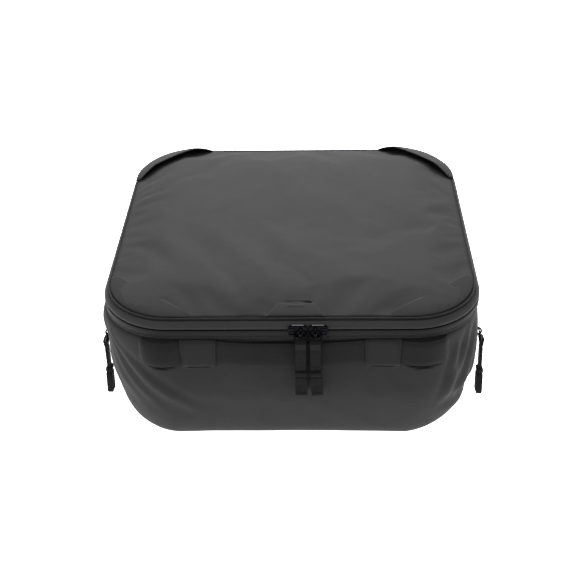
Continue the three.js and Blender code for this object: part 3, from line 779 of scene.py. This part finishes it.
# Each ripple on the lid runs from one place to another, as (x, y), with its width and height.
RIPPLES = [
    ((-88, -18), (-18, -114), 10, 1.3),
    ((-34, -20), (36, -112), 10, 1.2),
    ((8, -34), (62, -116), 9, 0.8),
    ((44, 0), (94, -86), 11, 0.6),
    ((-126, -44), (-70, -116), 10, 0.6),
    ((-60, 130), (-10, 78), 11, 0.7),
    ((70, 60), (130, 0), 13, 0.5),
    ((-168, 64), (-138, 80), 3.5, 1.0),
    ((-168, 52), (-140, 68), 3.5, 0.9),
    ((-170, 36), (-146, 48), 4.0, 0.7),
    ((168, 40), (140, 16), 5.0, 0.5),
]
RIPPLE_SHARE = 1.2


def lid_relief(x, y):
    deep = inside_by(x, y)
    hold = min(1.0, max(0.0, deep - SEAM_INSET) / 14)
    height = 0.8 * noise.noise(Vector((x, y, 7)) / 70) + 0.25 * noise.noise(Vector((x, y, 31)) / 22)
    height += RIPPLE_SHARE * sum(crease_height(x, y, *ripple) for ripple in RIPPLES)
    return height * hold


# %% [markdown]
# A panel made of rings would have all its columns crowd at the middle, so the panel is a plain square
# grid instead, clipped to the outline by moving its outermost points onto the seam.


# %% Lid sheet
def lid_sheet(name, inset, down, pitch, finish, bumpy=1.0):
    """A square grid over the lid whose border is pulled onto the outline."""
    half_x, half_y = HALF_W - inset, HALF_D - inset
    xs, ys = steps(-1, 1, pitch / half_x), steps(-1, 1, pitch / half_y)
    rows, uv = [], []
    for v in ys:
        row = []
        for u in xs:
            x, y = rounded(u, v, half_x, half_y, CORNER - inset)
            row.append((x, y, crown(x, y) + bumpy * lid_relief(x, y) - down))
        rows.append(row)
        uv.append([(p[0], p[1]) for p in row])
    return cloth_grid(name, rows, finish, uv, 60)


def rounded(u, v, half_x, half_y, radius):
    """Moves a square grid's point (u, v), each from -1 to 1, into a rectangle with round corners."""
    ring = max(abs(u), abs(v))
    if ring < 1e-6:
        return 0.0, 0.0
    # The border point that this one's ray meets, on a square whose corners are rounded off.
    bu, bv = u / ring, v / ring
    x, y = bu * half_x, bv * half_y
    qx, qy = abs(x) - (half_x - radius), abs(y) - (half_y - radius)
    if qx > 0 and qy > 0:
        length = math.hypot(qx, qy)
        x = math.copysign(half_x - radius + radius * qx / length, x)
        y = math.copysign(half_y - radius + radius * qy / length, y)
    blend = ring**3
    plain_x, plain_y = u * half_x, v * half_y
    return plain_x + (x * ring - plain_x) * blend, plain_y + (y * ring - plain_y) * blend


lid_panel = lid_sheet("lid_top_panel", SEAM_INSET + 1.0, 0.0, 3.0, NYLON)


# %% Lid simulation
def settle(piece, held, frames, pressure, growth, cap):
    """Cloth simulation with some points held. No point moves further than the cap, in mm."""
    before = [v.co.copy() for v in piece.data.vertices]
    pins = piece.vertex_groups.new(name="held")
    pins.add([i for i, p in enumerate(before) if held(p / MM)], 1.0, "REPLACE")
    modifier = piece.modifiers.new("settle", "CLOTH")
    cloth = modifier.settings
    cloth.quality = 6
    cloth.mass = 0.25
    cloth.tension_stiffness = 30
    cloth.compression_stiffness = 30
    cloth.shear_stiffness = 12
    cloth.bending_stiffness = 1.5
    cloth.vertex_group_mass = "held"
    cloth.use_pressure = True
    cloth.uniform_pressure_force = pressure
    cloth.shrink_min = -growth
    cloth.effector_weights.gravity = 0
    modifier.collision_settings.use_collision = False
    modifier.point_cache.frame_start = 1
    modifier.point_cache.frame_end = frames
    for number in range(1, frames + 1):
        bpy.context.scene.frame_set(number)
    shaped = piece.evaluated_get(bpy.context.evaluated_depsgraph_get())
    after = [v.co.copy() for v in shaped.data.vertices]
    piece.modifiers.remove(modifier)
    bpy.context.scene.frame_set(1)
    furthest = 0.0
    for vertex, old, new in zip(piece.data.vertices, before, after):
        move = new - old
        furthest = max(furthest, move.length / MM)
        if move.length > cap * MM:
            move *= cap * MM / move.length
        vertex.co = old + move
    piece.vertex_groups.clear()
    print(piece.name, "settled, furthest move", round(furthest, 1), "mm")


settle(lid_panel, lambda p: inside_by(p.x, p.y) < SEAM_INSET + 2.0, 18, 0.6, 0.004, 3.0)


def thicken(piece, thickness, side=-1.0):
    """Gives a sheet its thickness, below it for -1, and applies the modifier."""
    wall = piece.modifiers.new("wall", "SOLIDIFY")
    wall.thickness = thickness * MM
    wall.offset = side
    apply(piece, wall)


def face_up(piece):
    """Turns a sheet so that its faces look up."""
    mesh = piece.data
    if sum(f.normal.z * f.area for f in mesh.polygons) < 0:
        mesh.flip_normals()


face_up(lid_panel)
thicken(lid_panel, 1.2)
place(lid_panel, "lid", "shell_fabric", "lid_panel")

# %% [markdown]
# Under the panel lie its foam and its lining.

# %% Lid foam and lining
lid_foam = lid_sheet("lid_foam_board", SEAM_INSET + 6.0, 3.6, 6.0, FOAM, 0.5)
face_up(lid_foam)
thicken(lid_foam, 3.4)
place(lid_foam, "lid", "foam", "lid_foam_pad")
lid_lining = lid_sheet("lid_inner_lining", SEAM_INSET + 4.0, 7.3, 6.0, LINING, 0.5)
face_up(lid_lining)
thicken(lid_lining, 0.8)
place(lid_lining, "lid", "lining", "lid_lining")

# %% [markdown]
# ### Piping and stitches
# The piping is a thin cord in a fold of tape, sewn into the seam. Stitches are short bars, each lying
# in a shallow dip, and one helper lays them along any route.

# %% Piping
PIPE = 0.85
PIPE_OUT, PIPE_Z = 0.6 - SEAM_INSET, SEAM_Z + 0.1
pipe_angles = [k * math.pi / 5 for k in range(10)]
pipe_section = [(PIPE_OUT + PIPE * math.cos(a), PIPE_Z + PIPE * math.sin(a)) for a in pipe_angles]
piping = round_strip("lid_seam_cord", pipe_section, ROUND, SHADE_DARKENED_TAPE, 60)
place(piping, "lid", "rim_tape", "lid_seam_piping")


# %% Stitches
def stitch_bars(name, route, body, length=2.6, gap=1.3, thick=0.28):
    """Stitches along a list of (point, outward normal), in mm."""
    points, faces = [], []
    travelled = 0.0
    due = 0.0
    for (a, normal), (b, _) in zip(route, route[1:]):
        a, b, normal = Vector(a), Vector(b), Vector(normal)
        span = (b - a).length
        if span < 1e-6:
            continue
        ahead = (b - a) / span
        aside = ahead.cross(normal).normalized()
        while due <= travelled + span:
            middle = a + ahead * (due - travelled)
            first = len(points)
            for t, size in ((-0.5, 0.35), (-0.3, 1), (0.3, 1), (0.5, 0.35)):
                centre = middle + ahead * length * t + normal * (thick * 0.35 * size - (1 - size) * thick)
                for k in range(6):
                    turn = k * math.pi / 3
                    points.append(centre + (aside * math.cos(turn) + normal * math.sin(turn)) * thick * size)
            for ring in range(3):
                for k in range(6):
                    n = (k + 1) % 6
                    low = first + ring * 6
                    faces.append((low + k, low + n, low + 6 + n, low + 6 + k))
            faces += [tuple(first + k for k in range(5, -1, -1)), tuple(first + 18 + k for k in range(6))]
            due += length + gap
        travelled += span
    piece = new_piece(name, points, faces, THREAD)
    layer = piece.data.uv_layers.new(name="cloth")
    for loop in piece.data.loops:
        layer.data[loop.index].uv = piece.data.vertices[loop.vertex_index].co.xy / MM
    weld(piece, 0.001)
    round_off(piece, 60)
    place(piece, body, "rim_tape")
    return piece


def round_route(columns, out, z):
    route = []
    for s in columns:
        x, y = outline(s, out)
        x1, y1 = outline(s, out + 1)
        route.append(((x, y, z), (x1 - x, y1 - y, 0)))
    return route


stitch_bars("lower_band_stitches", round_route(BROAD, BAND_OUT + 0.1, RIM_LOW + 2.4), "tub")

# %% [markdown]
# ## Corner patches and corner pockets
# The front corners of the lid carry flat patches of coated cloth. The rear corners
# carry pockets: the cloth is sewn along the rim and its free edge, a straight line across the corner,
# stands up off the lid. Both are grids from the rim (t = 0) to the free edge (t = 1).


# %% Corner cloth
def corner_cloth(name, side, start, end, finish, bow, stand, lift, thickness):
    """A cloth over one lid corner, from s = start to end.

    bow curves its free edge towards the rim, and lift raises that edge. stand is its place off the lid."""
    ss = steps(start, end, 4)
    first, last = outline(start, -SEAM_INSET - 4), outline(end, -SEAM_INSET - 4)
    rows = []
    for i, s in enumerate(ss):
        f = i / (len(ss) - 1)
        belly = math.sin(math.pi * f)
        rim = Vector(outline(s, -SEAM_INSET + (1.5 if lift else -1.2)))
        line = Vector(first).lerp(Vector(last), f)
        inner = line.lerp(rim, bow * belly)
        row = []
        for t in steps(0, 1, 0.07):
            x, y = rim.lerp(inner, t)
            ground = crown(x, y) + lid_relief(side * x, y)
            rise = lift * min(1.0, belly * 1.6) ** 0.8 * (0.25 + 0.75 * t) * min(1.0, t * 5)
            row.append((side * x, y, ground + stand * min(1.0, 0.3 + t * 4) + rise))
        rows.append(row)
    piece = cloth_grid(name, rows, finish, smooth=60)
    face_up(piece)
    thicken(piece, thickness, 1.0)
    long = math.dist(first, last) * MM * 1.02
    return piece


FRONT_PATCH = (FRONT_HALF - 20, S_SIDE + 5)
REAR_POCKET = (S_REAR_CORNER - 8, S_REAR + 16)

for side_name, side in (("left", -1), ("right", 1)):
    patch = corner_cloth(f"front_{side_name}_patch", side, *FRONT_PATCH, COATED, bow=0.12, stand=0.3,
                         lift=0.0, thickness=0.4)
    place(patch, "lid", "shell_fabric", f"front_{side_name}_corner_patch")
    pocket = corner_cloth(f"rear_{side_name}_pocket", side, *REAR_POCKET, NYLON, bow=0.0, stand=0.6,
                          lift=7.0, thickness=1.0)
    place(pocket, "lid", "shell_fabric", f"rear_{side_name}_corner_pocket")

# %% [markdown]
# ## Grip patch
# A small stiff patch in the middle of the lid's front edge gives something to hold while the zip is
# pulled. It has a slot along its rear edge and a plain raised bar.

# %% Grip patch
grip_low, grip_high = box_mm("lid_grip_patch")
GRIP_MIDDLE = (grip_low.x + grip_high.x) / 2
GRIP_FRONT, GRIP_REAR = 28, 15.5
GRIP_Y, GRIP_LENGTH_Y = grip_low.y - 1, 19


def grip_top(u, t):
    """u from -1 to 1 across the patch, t from 0 at the rim to 1 at its rear edge."""
    half = GRIP_FRONT + (GRIP_REAR - GRIP_FRONT) * min(1.0, t * 1.15)
    x, y = GRIP_MIDDLE + u * half, GRIP_Y + GRIP_LENGTH_Y * t
    edge = min(1.0, (1 - abs(u)) * 9, t * 12 + 0.3, (1 - t) * 12)
    slot = math.exp(-((max(0.0, abs(u) - 0.84) / 0.05) ** 2)) * math.exp(-(((t - 0.84) / 0.075) ** 2))
    bar = math.exp(-((max(0.0, abs(u) - 0.35) / 0.05) ** 2)) * math.exp(-(((t - 0.56) / 0.05) ** 2))
    return x, y, crown(x, y) + 0.3 + 1.2 * edge**0.5 - 2.6 * slot + 0.4 * bar


grip_rows = [[grip_top(u, t) for u in steps(-1, 1, 0.03)] for t in steps(0, 1, 0.02)]
grip = cloth_grid("lid_grip_tab", grip_rows, COATED, smooth=60)
face_up(grip)
thicken(grip, 1.0)
place(grip, "lid", "rubber", "lid_grip_patch")

# %% [markdown]
# ## The handle
# A 25 mm webbing runs across the front under two keepers. Between them it hangs a little off the wall,
# and beyond them it makes a short loop before it is sewn to the wall.

# %% Webbing
KEEPER_MIDDLE, KEEPER_HALF = 85, 16.5
WEB_ENDS = (-141, 148)
WEB_THICK = 1.6


def wall_out(s, z):
    """How far out the wall's cloth lies at a height."""
    top = len(WALL) - 1
    t = 4.0
    while t < top and along_curve(WALL, t)[1] < z:
        t += 0.02
    return relief(s, min(z, RIM_LOW)) - along_curve(WALL, min(t, top))[0]


def web_z(f):
    """The height of a place on the webbing's width. f is 0 at its lower edge and 1 at its upper edge."""
    return web_low.z + (web_high.z - web_low.z) * f


def web_stand(s, f):
    """How far the webbing stands off the wall."""
    a = abs(s)
    inner, outer = KEEPER_MIDDLE - KEEPER_HALF, KEEPER_MIDDLE + KEEPER_HALF
    if a < inner:
        return 0.4 + (1.2 + 0.6 * f) * math.cos(a / inner * math.pi / 2) ** 0.8
    if a > outer:
        end = -WEB_ENDS[0] if s < 0 else WEB_ENDS[1]
        along = min(1.0, (a - outer) / (end - outer))
        tuck = 2.4 * max(0.0, along - 0.86) / 0.14
        loop = (4.4 - 1.0 * f) * math.sin(math.pi * along) ** 0.8
        return 0.4 + loop + hollow_depth(s, web_z(f), lip=False) - tuck
    return 0.4


def web_sag(s):
    inner = KEEPER_MIDDLE - KEEPER_HALF
    return -3.6 * math.cos(s / inner * math.pi / 2) ** 0.8 if abs(s) < inner else 0.0


def web_point(s, f, off):
    z = web_z(f) + web_sag(s)
    return (*outline(s, wall_out(s, z) + web_stand(s, f) + off), z)


web_columns = steps(*WEB_ENDS, 2.5)
web_section = [(f, WEB_THICK * (1 - (2 * f - 1) ** 10 * 0.55)) for f in steps(0, 1, 0.1)]
web_section += [(f, WEB_THICK * (2 * f - 1) ** 10 * 0.45) for f in steps(1, 0, 0.1)]
web_rows = [[web_point(s, f, off) for s in web_columns] for f, off in web_section + web_section[:1]]
webbing = cloth_grid("handle_strap", web_rows, WEBBING, smooth=50)
close_ends(webbing)
place(webbing, "tub", "webbing", "handle_webbing")


# %% [markdown]
# Each keeper is a tab of the outer nylon that comes out from under the rim, passes over the webbing and is
# sewn down below it. A bar of close stitches lies along each keeper's sewn edge, and one more holds the
# webbing's left end.


# %% Keepers
def keeper(side_name, side):
    columns = steps(side * KEEPER_MIDDLE - KEEPER_HALF, side * KEEPER_MIDDLE + KEEPER_HALF, 1.7)
    rows = []
    for z in steps(RIM_LOW - 0.3, web_low.z - 4.6, 1.1):
        f = (z - web_low.z) / (web_high.z - web_low.z)
        over = smooth_step(web_low.z - 2.5, web_low.z, z)
        row = []
        for s in columns:
            near = (s - side * KEEPER_MIDDLE) / KEEPER_HALF
            squeeze = 1 - 0.06 * (1 - min(1.0, max(0.0, f)))
            at = side * KEEPER_MIDDLE + near * KEEPER_HALF * squeeze
            tuck = smooth_step(RIM_LOW - 3.2, RIM_LOW - 0.3, z)
            stand = 0.3 + over * (WEB_THICK + 0.6) * (1 - tuck) - 0.3 * abs(near) ** 8 - 1.2 * tuck
            row.append((*outline(at, wall_out(at, z) + stand), z))
        rows.append(row)
    piece = cloth_grid(f"{side_name}_keeper_tab", rows, COATED, smooth=60)
    mesh = piece.data
    if sum(face.normal.y * face.area for face in mesh.polygons) > 0:
        mesh.flip_normals()
    thicken(piece, 0.9, 1.0)
    place(piece, "tub", "shell_fabric", f"{side_name}_handle_keeper")
    for edge in (-1, 1):
        route = []
        for z in steps(RIM_LOW - 4, web_low.z + 1, 2):
            at = side * KEEPER_MIDDLE + edge * (KEEPER_HALF - 2.2)
            spot = outline(at, wall_out(at, z) + WEB_THICK + 1.8)
            route.append(((*spot, z), (0, -1, 0)))
        stitch_bars(f"{side_name}_keeper_stitches_{'left' if edge < 0 else 'right'}", route, "tub")
    tack(f"{side_name}_keeper_tack", side * KEEPER_MIDDLE, web_low.z - 3.4, 20, 1.2)


def tack(name, s_middle, z, length, stand):
    """A bar tack: stitches set so close together that they make one raised bar."""
    route = []
    for s in steps(s_middle - length / 2, s_middle + length / 2, 1.0):
        x, y = outline(s, wall_out(s, z) + stand)
        route.append(((x, y, z), (0, -1, 0)))
    return stitch_bars(name, route, "tub", length=1.5, gap=-0.4, thick=0.5)


keeper("left", -1)
keeper("right", 1)
tack("left_webbing_tack", WEB_ENDS[0] + 10, web_low.z - 3, 7, 0.5)

# %% [markdown]
# ## Side pockets
# Each side wall has a flat pocket behind a zip. Its two tapes are thin strips on the wall, and the
# coils lie behind their edges.


# %% Side zips
# The tape's section: how far out, and how far across from the sewn edge (0) to the free one (1).
TAPE_SECTION = [(0.2, 0), (0.9, 0.06), (0.55, 0.2), (0.95, 0.35), (1.05, 0.9), (0.75, 1), (-0.2, 1),
                (-0.6, 0), (0.2, 0)]
COIL_HEIGHT = 3.6


def side_zip(side_name, side):
    for half_name, up in (("lower", 1), ("upper", -1)):
        zip_half = f"{side_name}_pocket_{half_name}"
        low, high = box_mm(zip_half + "_tape")
        sewn, free = (low.z, high.z) if up == 1 else (high.z, low.z)
        x_in = min(abs(low.x), abs(high.x))
        ys = steps(low.y, high.y, 4)
        rows = [[(side * (x_in + x), y, sewn + (free - sewn) * f) for y in ys] for x, f in TAPE_SECTION]
        tape = cloth_grid(zip_half + "_tape_strip", rows, SHADE_DARKENED_TAPE, smooth=40)
        close_ends(tape)
        place(tape, "tub", "rim_tape", zip_half + "_tape")
        seam = sewn + (free - sewn) * 0.2
        route = [((side * (x_in + 0.75), y, seam), (side, 0, 0)) for y in ys]
        stitch_bars(zip_half + "_stitches", route, "tub")
        c_low, c_high = box_mm(zip_half + "_coil")
        face = max(abs(c_low.x), abs(c_high.x))
        foot = (c_high.z if up == 1 else c_low.z) - up * COIL_HEIGHT

        def where(y, deep, z):
            return side * (face - deep), y, foot + up * z

        coil_teeth(zip_half + "_teeth", c_low.y + 1, c_high.y - 1, where, "tub", zip_half + "_coil")


side_zip("left", -1)
side_zip("right", 1)

# %% [markdown]
# ## Sliders
# A slider is die-cast: two plates joined by a post, with an arch on the outer plate that makes an eye
# for the ring. It is modelled once at the origin, with the zip along X and the outside towards -Y,
# and copied to each of the four places.


# %% Hard-piece helpers
def deselected():
    bpy.ops.object.select_all(action="DESELECT")


def apply_place(piece):
    only(piece)
    bpy.ops.object.transform_apply(location=True, rotation=True, scale=True)


def apply_bevel(piece, width, segments=2, angle=30):
    bevel = piece.modifiers.new("edge", "BEVEL")
    bevel.width = width * MM
    bevel.segments = segments
    bevel.angle_limit = math.radians(angle)
    apply(piece, bevel)


def cube(low, high):
    deselected()
    middle = [(a + b) / 2 * MM for a, b in zip(low, high)]
    bpy.ops.mesh.primitive_cube_add(size=1, location=middle)
    piece = bpy.context.object
    piece.scale = [(b - a) * MM for a, b in zip(low, high)]
    apply_place(piece)
    return piece


def join(name, pieces):
    deselected()
    for piece in pieces:
        piece.select_set(True)
    bpy.context.view_layer.objects.active = pieces[0]
    bpy.ops.object.join()
    pieces[0].name = name
    return pieces[0]


# %% Slider shape
EYE_X = 2.6


def slider_plate(front, rear, half_length, half_height, crown_out):
    """A plate with round ends and softened edges."""
    plate = cube((-half_length, front, -half_height), (half_length, rear, half_height))
    bpy.ops.object.mode_set(mode="EDIT")
    bpy.ops.mesh.select_all(action="DESELECT")
    shape = bmesh.from_edit_mesh(plate.data)
    for edge in shape.edges:
        a, b = edge.verts
        edge.select = abs((a.co - b.co).y) > 0.5 * (rear - front) * MM
    bmesh.update_edit_mesh(plate.data)
    bpy.ops.mesh.bevel(offset=half_height * 0.62 * MM, segments=6, profile=0.5)
    bpy.ops.object.mode_set(mode="OBJECT")
    if crown_out:
        for vertex in plate.data.vertices:
            if vertex.co.y < (front + rear) / 2 * MM:
                across = 1 - (vertex.co.z / (half_height * MM)) ** 2
                vertex.co.y -= crown_out * MM * across * 0.3
    apply_bevel(plate, 0.55, 3, 40)
    return plate


def slider_arch():
    """Half a ring that stands on the outer plate, open along the zip."""
    deselected()
    bpy.ops.mesh.primitive_torus_add(major_radius=4.0 * MM, minor_radius=0.95 * MM, major_segments=28,
                                     minor_segments=10, location=(EYE_X * MM, -3.1 * MM, 0),
                                     rotation=(0, math.radians(90), 0))
    arch = bpy.context.object
    arch.scale = (1.0, 1.03, 1.8)
    apply_place(arch)
    bpy.ops.object.mode_set(mode="EDIT")
    bpy.ops.mesh.select_all(action="SELECT")
    bpy.ops.mesh.bisect(plane_co=(0, -1.2 * MM, 0), plane_no=(0, 1, 0), use_fill=True, clear_outer=True)
    bpy.ops.object.mode_set(mode="OBJECT")
    return arch


def slider_shape(name):
    outer = slider_plate(-2.5, -0.3, 9.0, 6.8, 1.6)
    inner = slider_plate(3.6, 5.1, 8.6, 5.5, 0.0)
    post = cube((4.5, -0.8, -0.45), (8.4, 4.0, 0.45))
    ribs = [cube((-7.8, -3.3, z - 0.7), (-2.2, -2.2, z + 0.7)) for z in (-3.2, 3.2)]
    ribs += [cube((-6.6, -3.2, -0.8), (-0.4, -2.2, 0.8))]
    for rib in ribs:
        apply_bevel(rib, 0.2, 2)
    piece = join(name, [outer, inner, post, slider_arch()] + ribs)
    piece.data.materials.clear()
    piece.data.materials.append(PLATED)
    round_off(piece, 35)
    return piece


# %% [markdown]
# ### Ring, strap and grip
# A wire ring turns in the slider's eye. A 9.5 mm webbing is folded round the ring's lower bar, sewn to
# itself, and its two ends go into a moulded grip.

# %% Ring
EYE_OUT = 5.0
RING_DROP = 9.5
RING_LEAN = 0.32
WIRE = 0.7
RING_HALF = 5.6


def ring_shape(name):
    """A bent wire: a circle of wire squared off into a link."""
    deselected()
    bpy.ops.mesh.primitive_torus_add(major_radius=1 * MM, minor_radius=0.1 * MM, major_segments=40,
                                     minor_segments=10, location=(0, 0, 0), rotation=(math.radians(90), 0, 0))
    ring = bpy.context.object
    apply_place(ring)
    half_tall = RING_DROP / 2
    for vertex in ring.data.vertices:
        x, y, z = vertex.co / MM
        turn_angle = math.atan2(z, x)
        off = math.hypot(x, z) - 1
        cos, sin = math.cos(turn_angle), math.sin(turn_angle)
        # A squared circle: both radii are pushed out towards the corners.
        square = (abs(cos) ** 3.2 + abs(sin) ** 3.2) ** (-1 / 3.2)
        cx, cz = RING_HALF * cos * square, half_tall * sin * square
        ahead = Vector((cos / RING_HALF, sin / half_tall)).normalized()
        grow = WIRE / 0.1
        vertex.co = Vector((cx + ahead.x * off * grow, y * grow, cz + ahead.y * off * grow - half_tall)) * MM
    ring.name = name
    ring.data.materials.append(PLATED)
    round_off(ring, 60)
    return ring


# %% Strap
STRAP_HALF = 4.7
STRAP_THICK = 3.2
STRAP_LENGTH = 37.5
FOLD_RADIUS = 2.7


def strap_shape(name):
    """The webbing seen from its side: a fold round the bar, then two layers pressed together."""
    outer = []
    for a in steps(-30, 210, 12):
        outer.append((FOLD_RADIUS * math.cos(math.radians(a)), FOLD_RADIUS * math.sin(math.radians(a))))
    pinch = [(-STRAP_THICK / 2 - 0.25, -5.6), (-STRAP_THICK / 2 + 0.35, -7.4), (-STRAP_THICK / 2, -9.5)]
    left = pinch + [(-STRAP_THICK / 2, z) for z in steps(-12, -STRAP_LENGTH, 4)]
    side_line = outer + left
    back_line = [(-y, z) for y, z in left[::-1]]
    profile = side_line + back_line
    widths = [(-1, 0.86), (-0.97, 0.97), (-0.9, 1.0), (-0.45, 1.0), (0, 1.0), (0.45, 1.0), (0.9, 1.0),
              (0.97, 0.97), (1, 0.86)]
    rows = [[(u * STRAP_HALF, y * press, z) for y, z in profile + profile[:1]] for u, press in widths]
    travel = [0.0]
    for a, b in zip(profile, profile[1:] + profile[:1]):
        travel.append(travel[-1] + math.dist(a, b))
    uv = [[(t, u * STRAP_HALF) for t in travel] for u, _ in widths]
    piece = cloth_grid(name, rows, PULL_WEBBING, uv, 50)
    end_caps(piece)
    return piece


def end_caps(piece):
    """Closes the strap's two sides and runs the bar's hole through it."""
    close_ends(piece)
    deselected()
    bpy.ops.mesh.primitive_cylinder_add(vertices=16, radius=1.05 * MM, depth=4 * STRAP_HALF * MM,
                                        rotation=(0, math.radians(90), 0))
    bar = bpy.context.object
    bore = piece.modifiers.new("bore", "BOOLEAN")
    bore.operation = "DIFFERENCE"
    bore.solver = "EXACT"
    bore.object = bar
    apply(piece, bore)
    bpy.data.objects.remove(bar)
    round_off(piece, 40)


# %% Grip
GRIP_TOP, GRIP_LONG = 32, 29


def grip_shape(name):
    """A moulded grip: a collar, a waist, and a flat body with a sunk panel on each face."""
    # Each level: how far below the grip's top, and its half width and half thickness there.
    levels = [(0, 5.0, 2.8), (0.8, 5.4, 3.1), (4.6, 5.4, 3.1), (5.2, 4.8, 2.6), (5.8, 4.8, 2.6),
              (6.8, 5.4, 3.2), (26.0, 5.7, 3.2), (27.8, 5.3, 2.9), (GRIP_LONG, 4.4, 2.0)]
    piece = cube((-1, -1, -GRIP_TOP - 0.5), (1, 1, -GRIP_TOP))
    for vertex in piece.data.vertices:
        vertex.co.z = -GRIP_TOP * MM if vertex.co.z > (-GRIP_TOP - 0.25) * MM else (-GRIP_TOP - 0.8) * MM
        _, wide, thick = levels[0] if vertex.co.z > (-GRIP_TOP - 0.4) * MM else levels[1]
        vertex.co.x = math.copysign(wide * MM, vertex.co.x)
        vertex.co.y = math.copysign(thick * MM, vertex.co.y)
    bpy.ops.object.mode_set(mode="EDIT")
    bpy.ops.mesh.select_mode(type="FACE")
    bpy.ops.mesh.select_all(action="DESELECT")
    shape = bmesh.from_edit_mesh(piece.data)
    lowest = min(shape.faces, key=lambda f: f.calc_center_median().z)
    lowest.select = True
    bmesh.update_edit_mesh(piece.data)
    for (z0, w0, t0), (z1, w1, t1) in zip(levels[1:], levels[2:]):
        bpy.ops.mesh.extrude_region_move(TRANSFORM_OT_translate={"value": (0, 0, -(z1 - z0) * MM)})
        bpy.ops.transform.resize(value=(w1 / w0, t1 / t0, 1), center_override=(0, 0, (-GRIP_TOP - z1) * MM))
    shape = bmesh.from_edit_mesh(piece.data)
    for face in shape.faces:
        middle = face.calc_center_median() / MM
        face.select = abs(middle.y) > 3 and -GRIP_TOP - 25 < middle.z < -GRIP_TOP - 12
    bmesh.update_edit_mesh(piece.data)
    bpy.ops.mesh.inset(thickness=1.1 * MM, depth=0)
    bpy.ops.mesh.inset(thickness=0.5 * MM, depth=-0.5 * MM)
    bpy.ops.object.mode_set(mode="OBJECT")
    apply_bevel(piece, 0.35, 3, 25)
    piece.name = name
    piece.data.materials.append(RUBBER)
    round_off(piece, 45)
    return piece


# %% [markdown]
# ### Putting the pulls in place
# Each copy gets its own mesh and is turned to face outwards. The frame's joints say where the ring's
# top bar and lower bar are, so each piece goes straight onto its axis.


# %% Place the four pulls
def joint_place(name):
    return next(Vector(j["pos_m"]) for j in frame["joints"] if j["name"] == name)


def copy_to(source, name, matrix):
    piece = source.copy()
    piece.data = source.data.copy()
    piece.name = name
    bpy.context.scene.collection.objects.link(piece)
    piece.data.transform(matrix)
    if matrix.determinant() < 0:
        piece.data.flip_normals()
    return piece


models = {"slider": slider_shape("slider"), "pull_ring": ring_shape("ring"),
          "pull_strap": strap_shape("strap"), "pull_grip": grip_shape("grip")}
bodies = {"slider": "slider", "pull_ring": "ring", "pull_strap": "pull", "pull_grip": "pull"}
slots = {"slider": "gunmetal", "pull_ring": "gunmetal", "pull_strap": "webbing", "pull_grip": "rubber"}
# For each pull: how far it is turned, which way its nose points, how its strap swings aside and which
# way its grip does, in degrees.
PULLS = {"front_left": (0, 1, 0, 0), "front_right": (0, -1, 0, -4), "left_pocket": (-90, 1, -4, -8),
         "right_pocket": (90, -1, 12, 0)}
for pull, (facing, nose, strap_swing, grip_swing) in PULLS.items():
    eye = joint_place(f"{pull}_ring_swing")
    low_bar = joint_place(f"{pull}_pull_swing")
    turn = Matrix.Rotation(math.radians(facing), 4, "Z")
    face = turn @ Vector((-nose * EYE_X * MM, EYE_OUT * MM, 0))
    swing = turn @ Matrix.Rotation(math.radians(strap_swing), 4, "Y")
    waist = Matrix.Translation((0, 0, -GRIP_TOP * MM))
    grip_turn = waist @ Matrix.Rotation(math.radians(grip_swing), 4, "Y") @ waist.inverted()
    matrices = {
        "slider": Matrix.Translation(eye + face) @ turn @ Matrix.Diagonal((nose, 1, 1, 1)),
        "pull_ring": Matrix.Translation(eye) @ turn @ Matrix.Rotation(-RING_LEAN, 4, "X"),
        "pull_strap": Matrix.Translation(low_bar) @ swing,
        "pull_grip": Matrix.Translation(low_bar) @ swing @ grip_turn,
    }
    for part, model in models.items():
        piece = copy_to(model, f"{pull}_{part}_shape", matrices[part])
        place(piece, f"{pull}_{bodies[part]}", slots[part], f"{pull}_{part}")
for model in models.values():
    bpy.data.objects.remove(model)

# %% [markdown]
# ## The fabric hinge
# Along the rear, one strip of nylon is sewn to the tub and to the lid. It is drawn as one fixed strip from
# the tub's hinge leaf up to the lid's, and it moves with neither.

# %% Hinge strip
leaf_low, leaf_high = box_mm("lower_hinge_leaf")
top_leaf_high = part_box("upper_hinge_leaf")[1].z / MM
hinge_y = (leaf_low.y + leaf_high.y) / 2
hinge_rows = []
for side in (0.45, -0.45):
    order = steps(leaf_low.z, top_leaf_high, 0.5)
    for z in order if side > 0 else order[::-1]:
        hinge_rows.append([(x, hinge_y + side, z) for x in steps(leaf_low.x, leaf_high.x, 5)])
hinge_rows.append(hinge_rows[0])
hinge = cloth_grid("rear_fabric_hinge", hinge_rows, NYLON)
close_ends(hinge)
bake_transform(hinge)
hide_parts("lower_hinge_leaf", "upper_hinge_leaf")
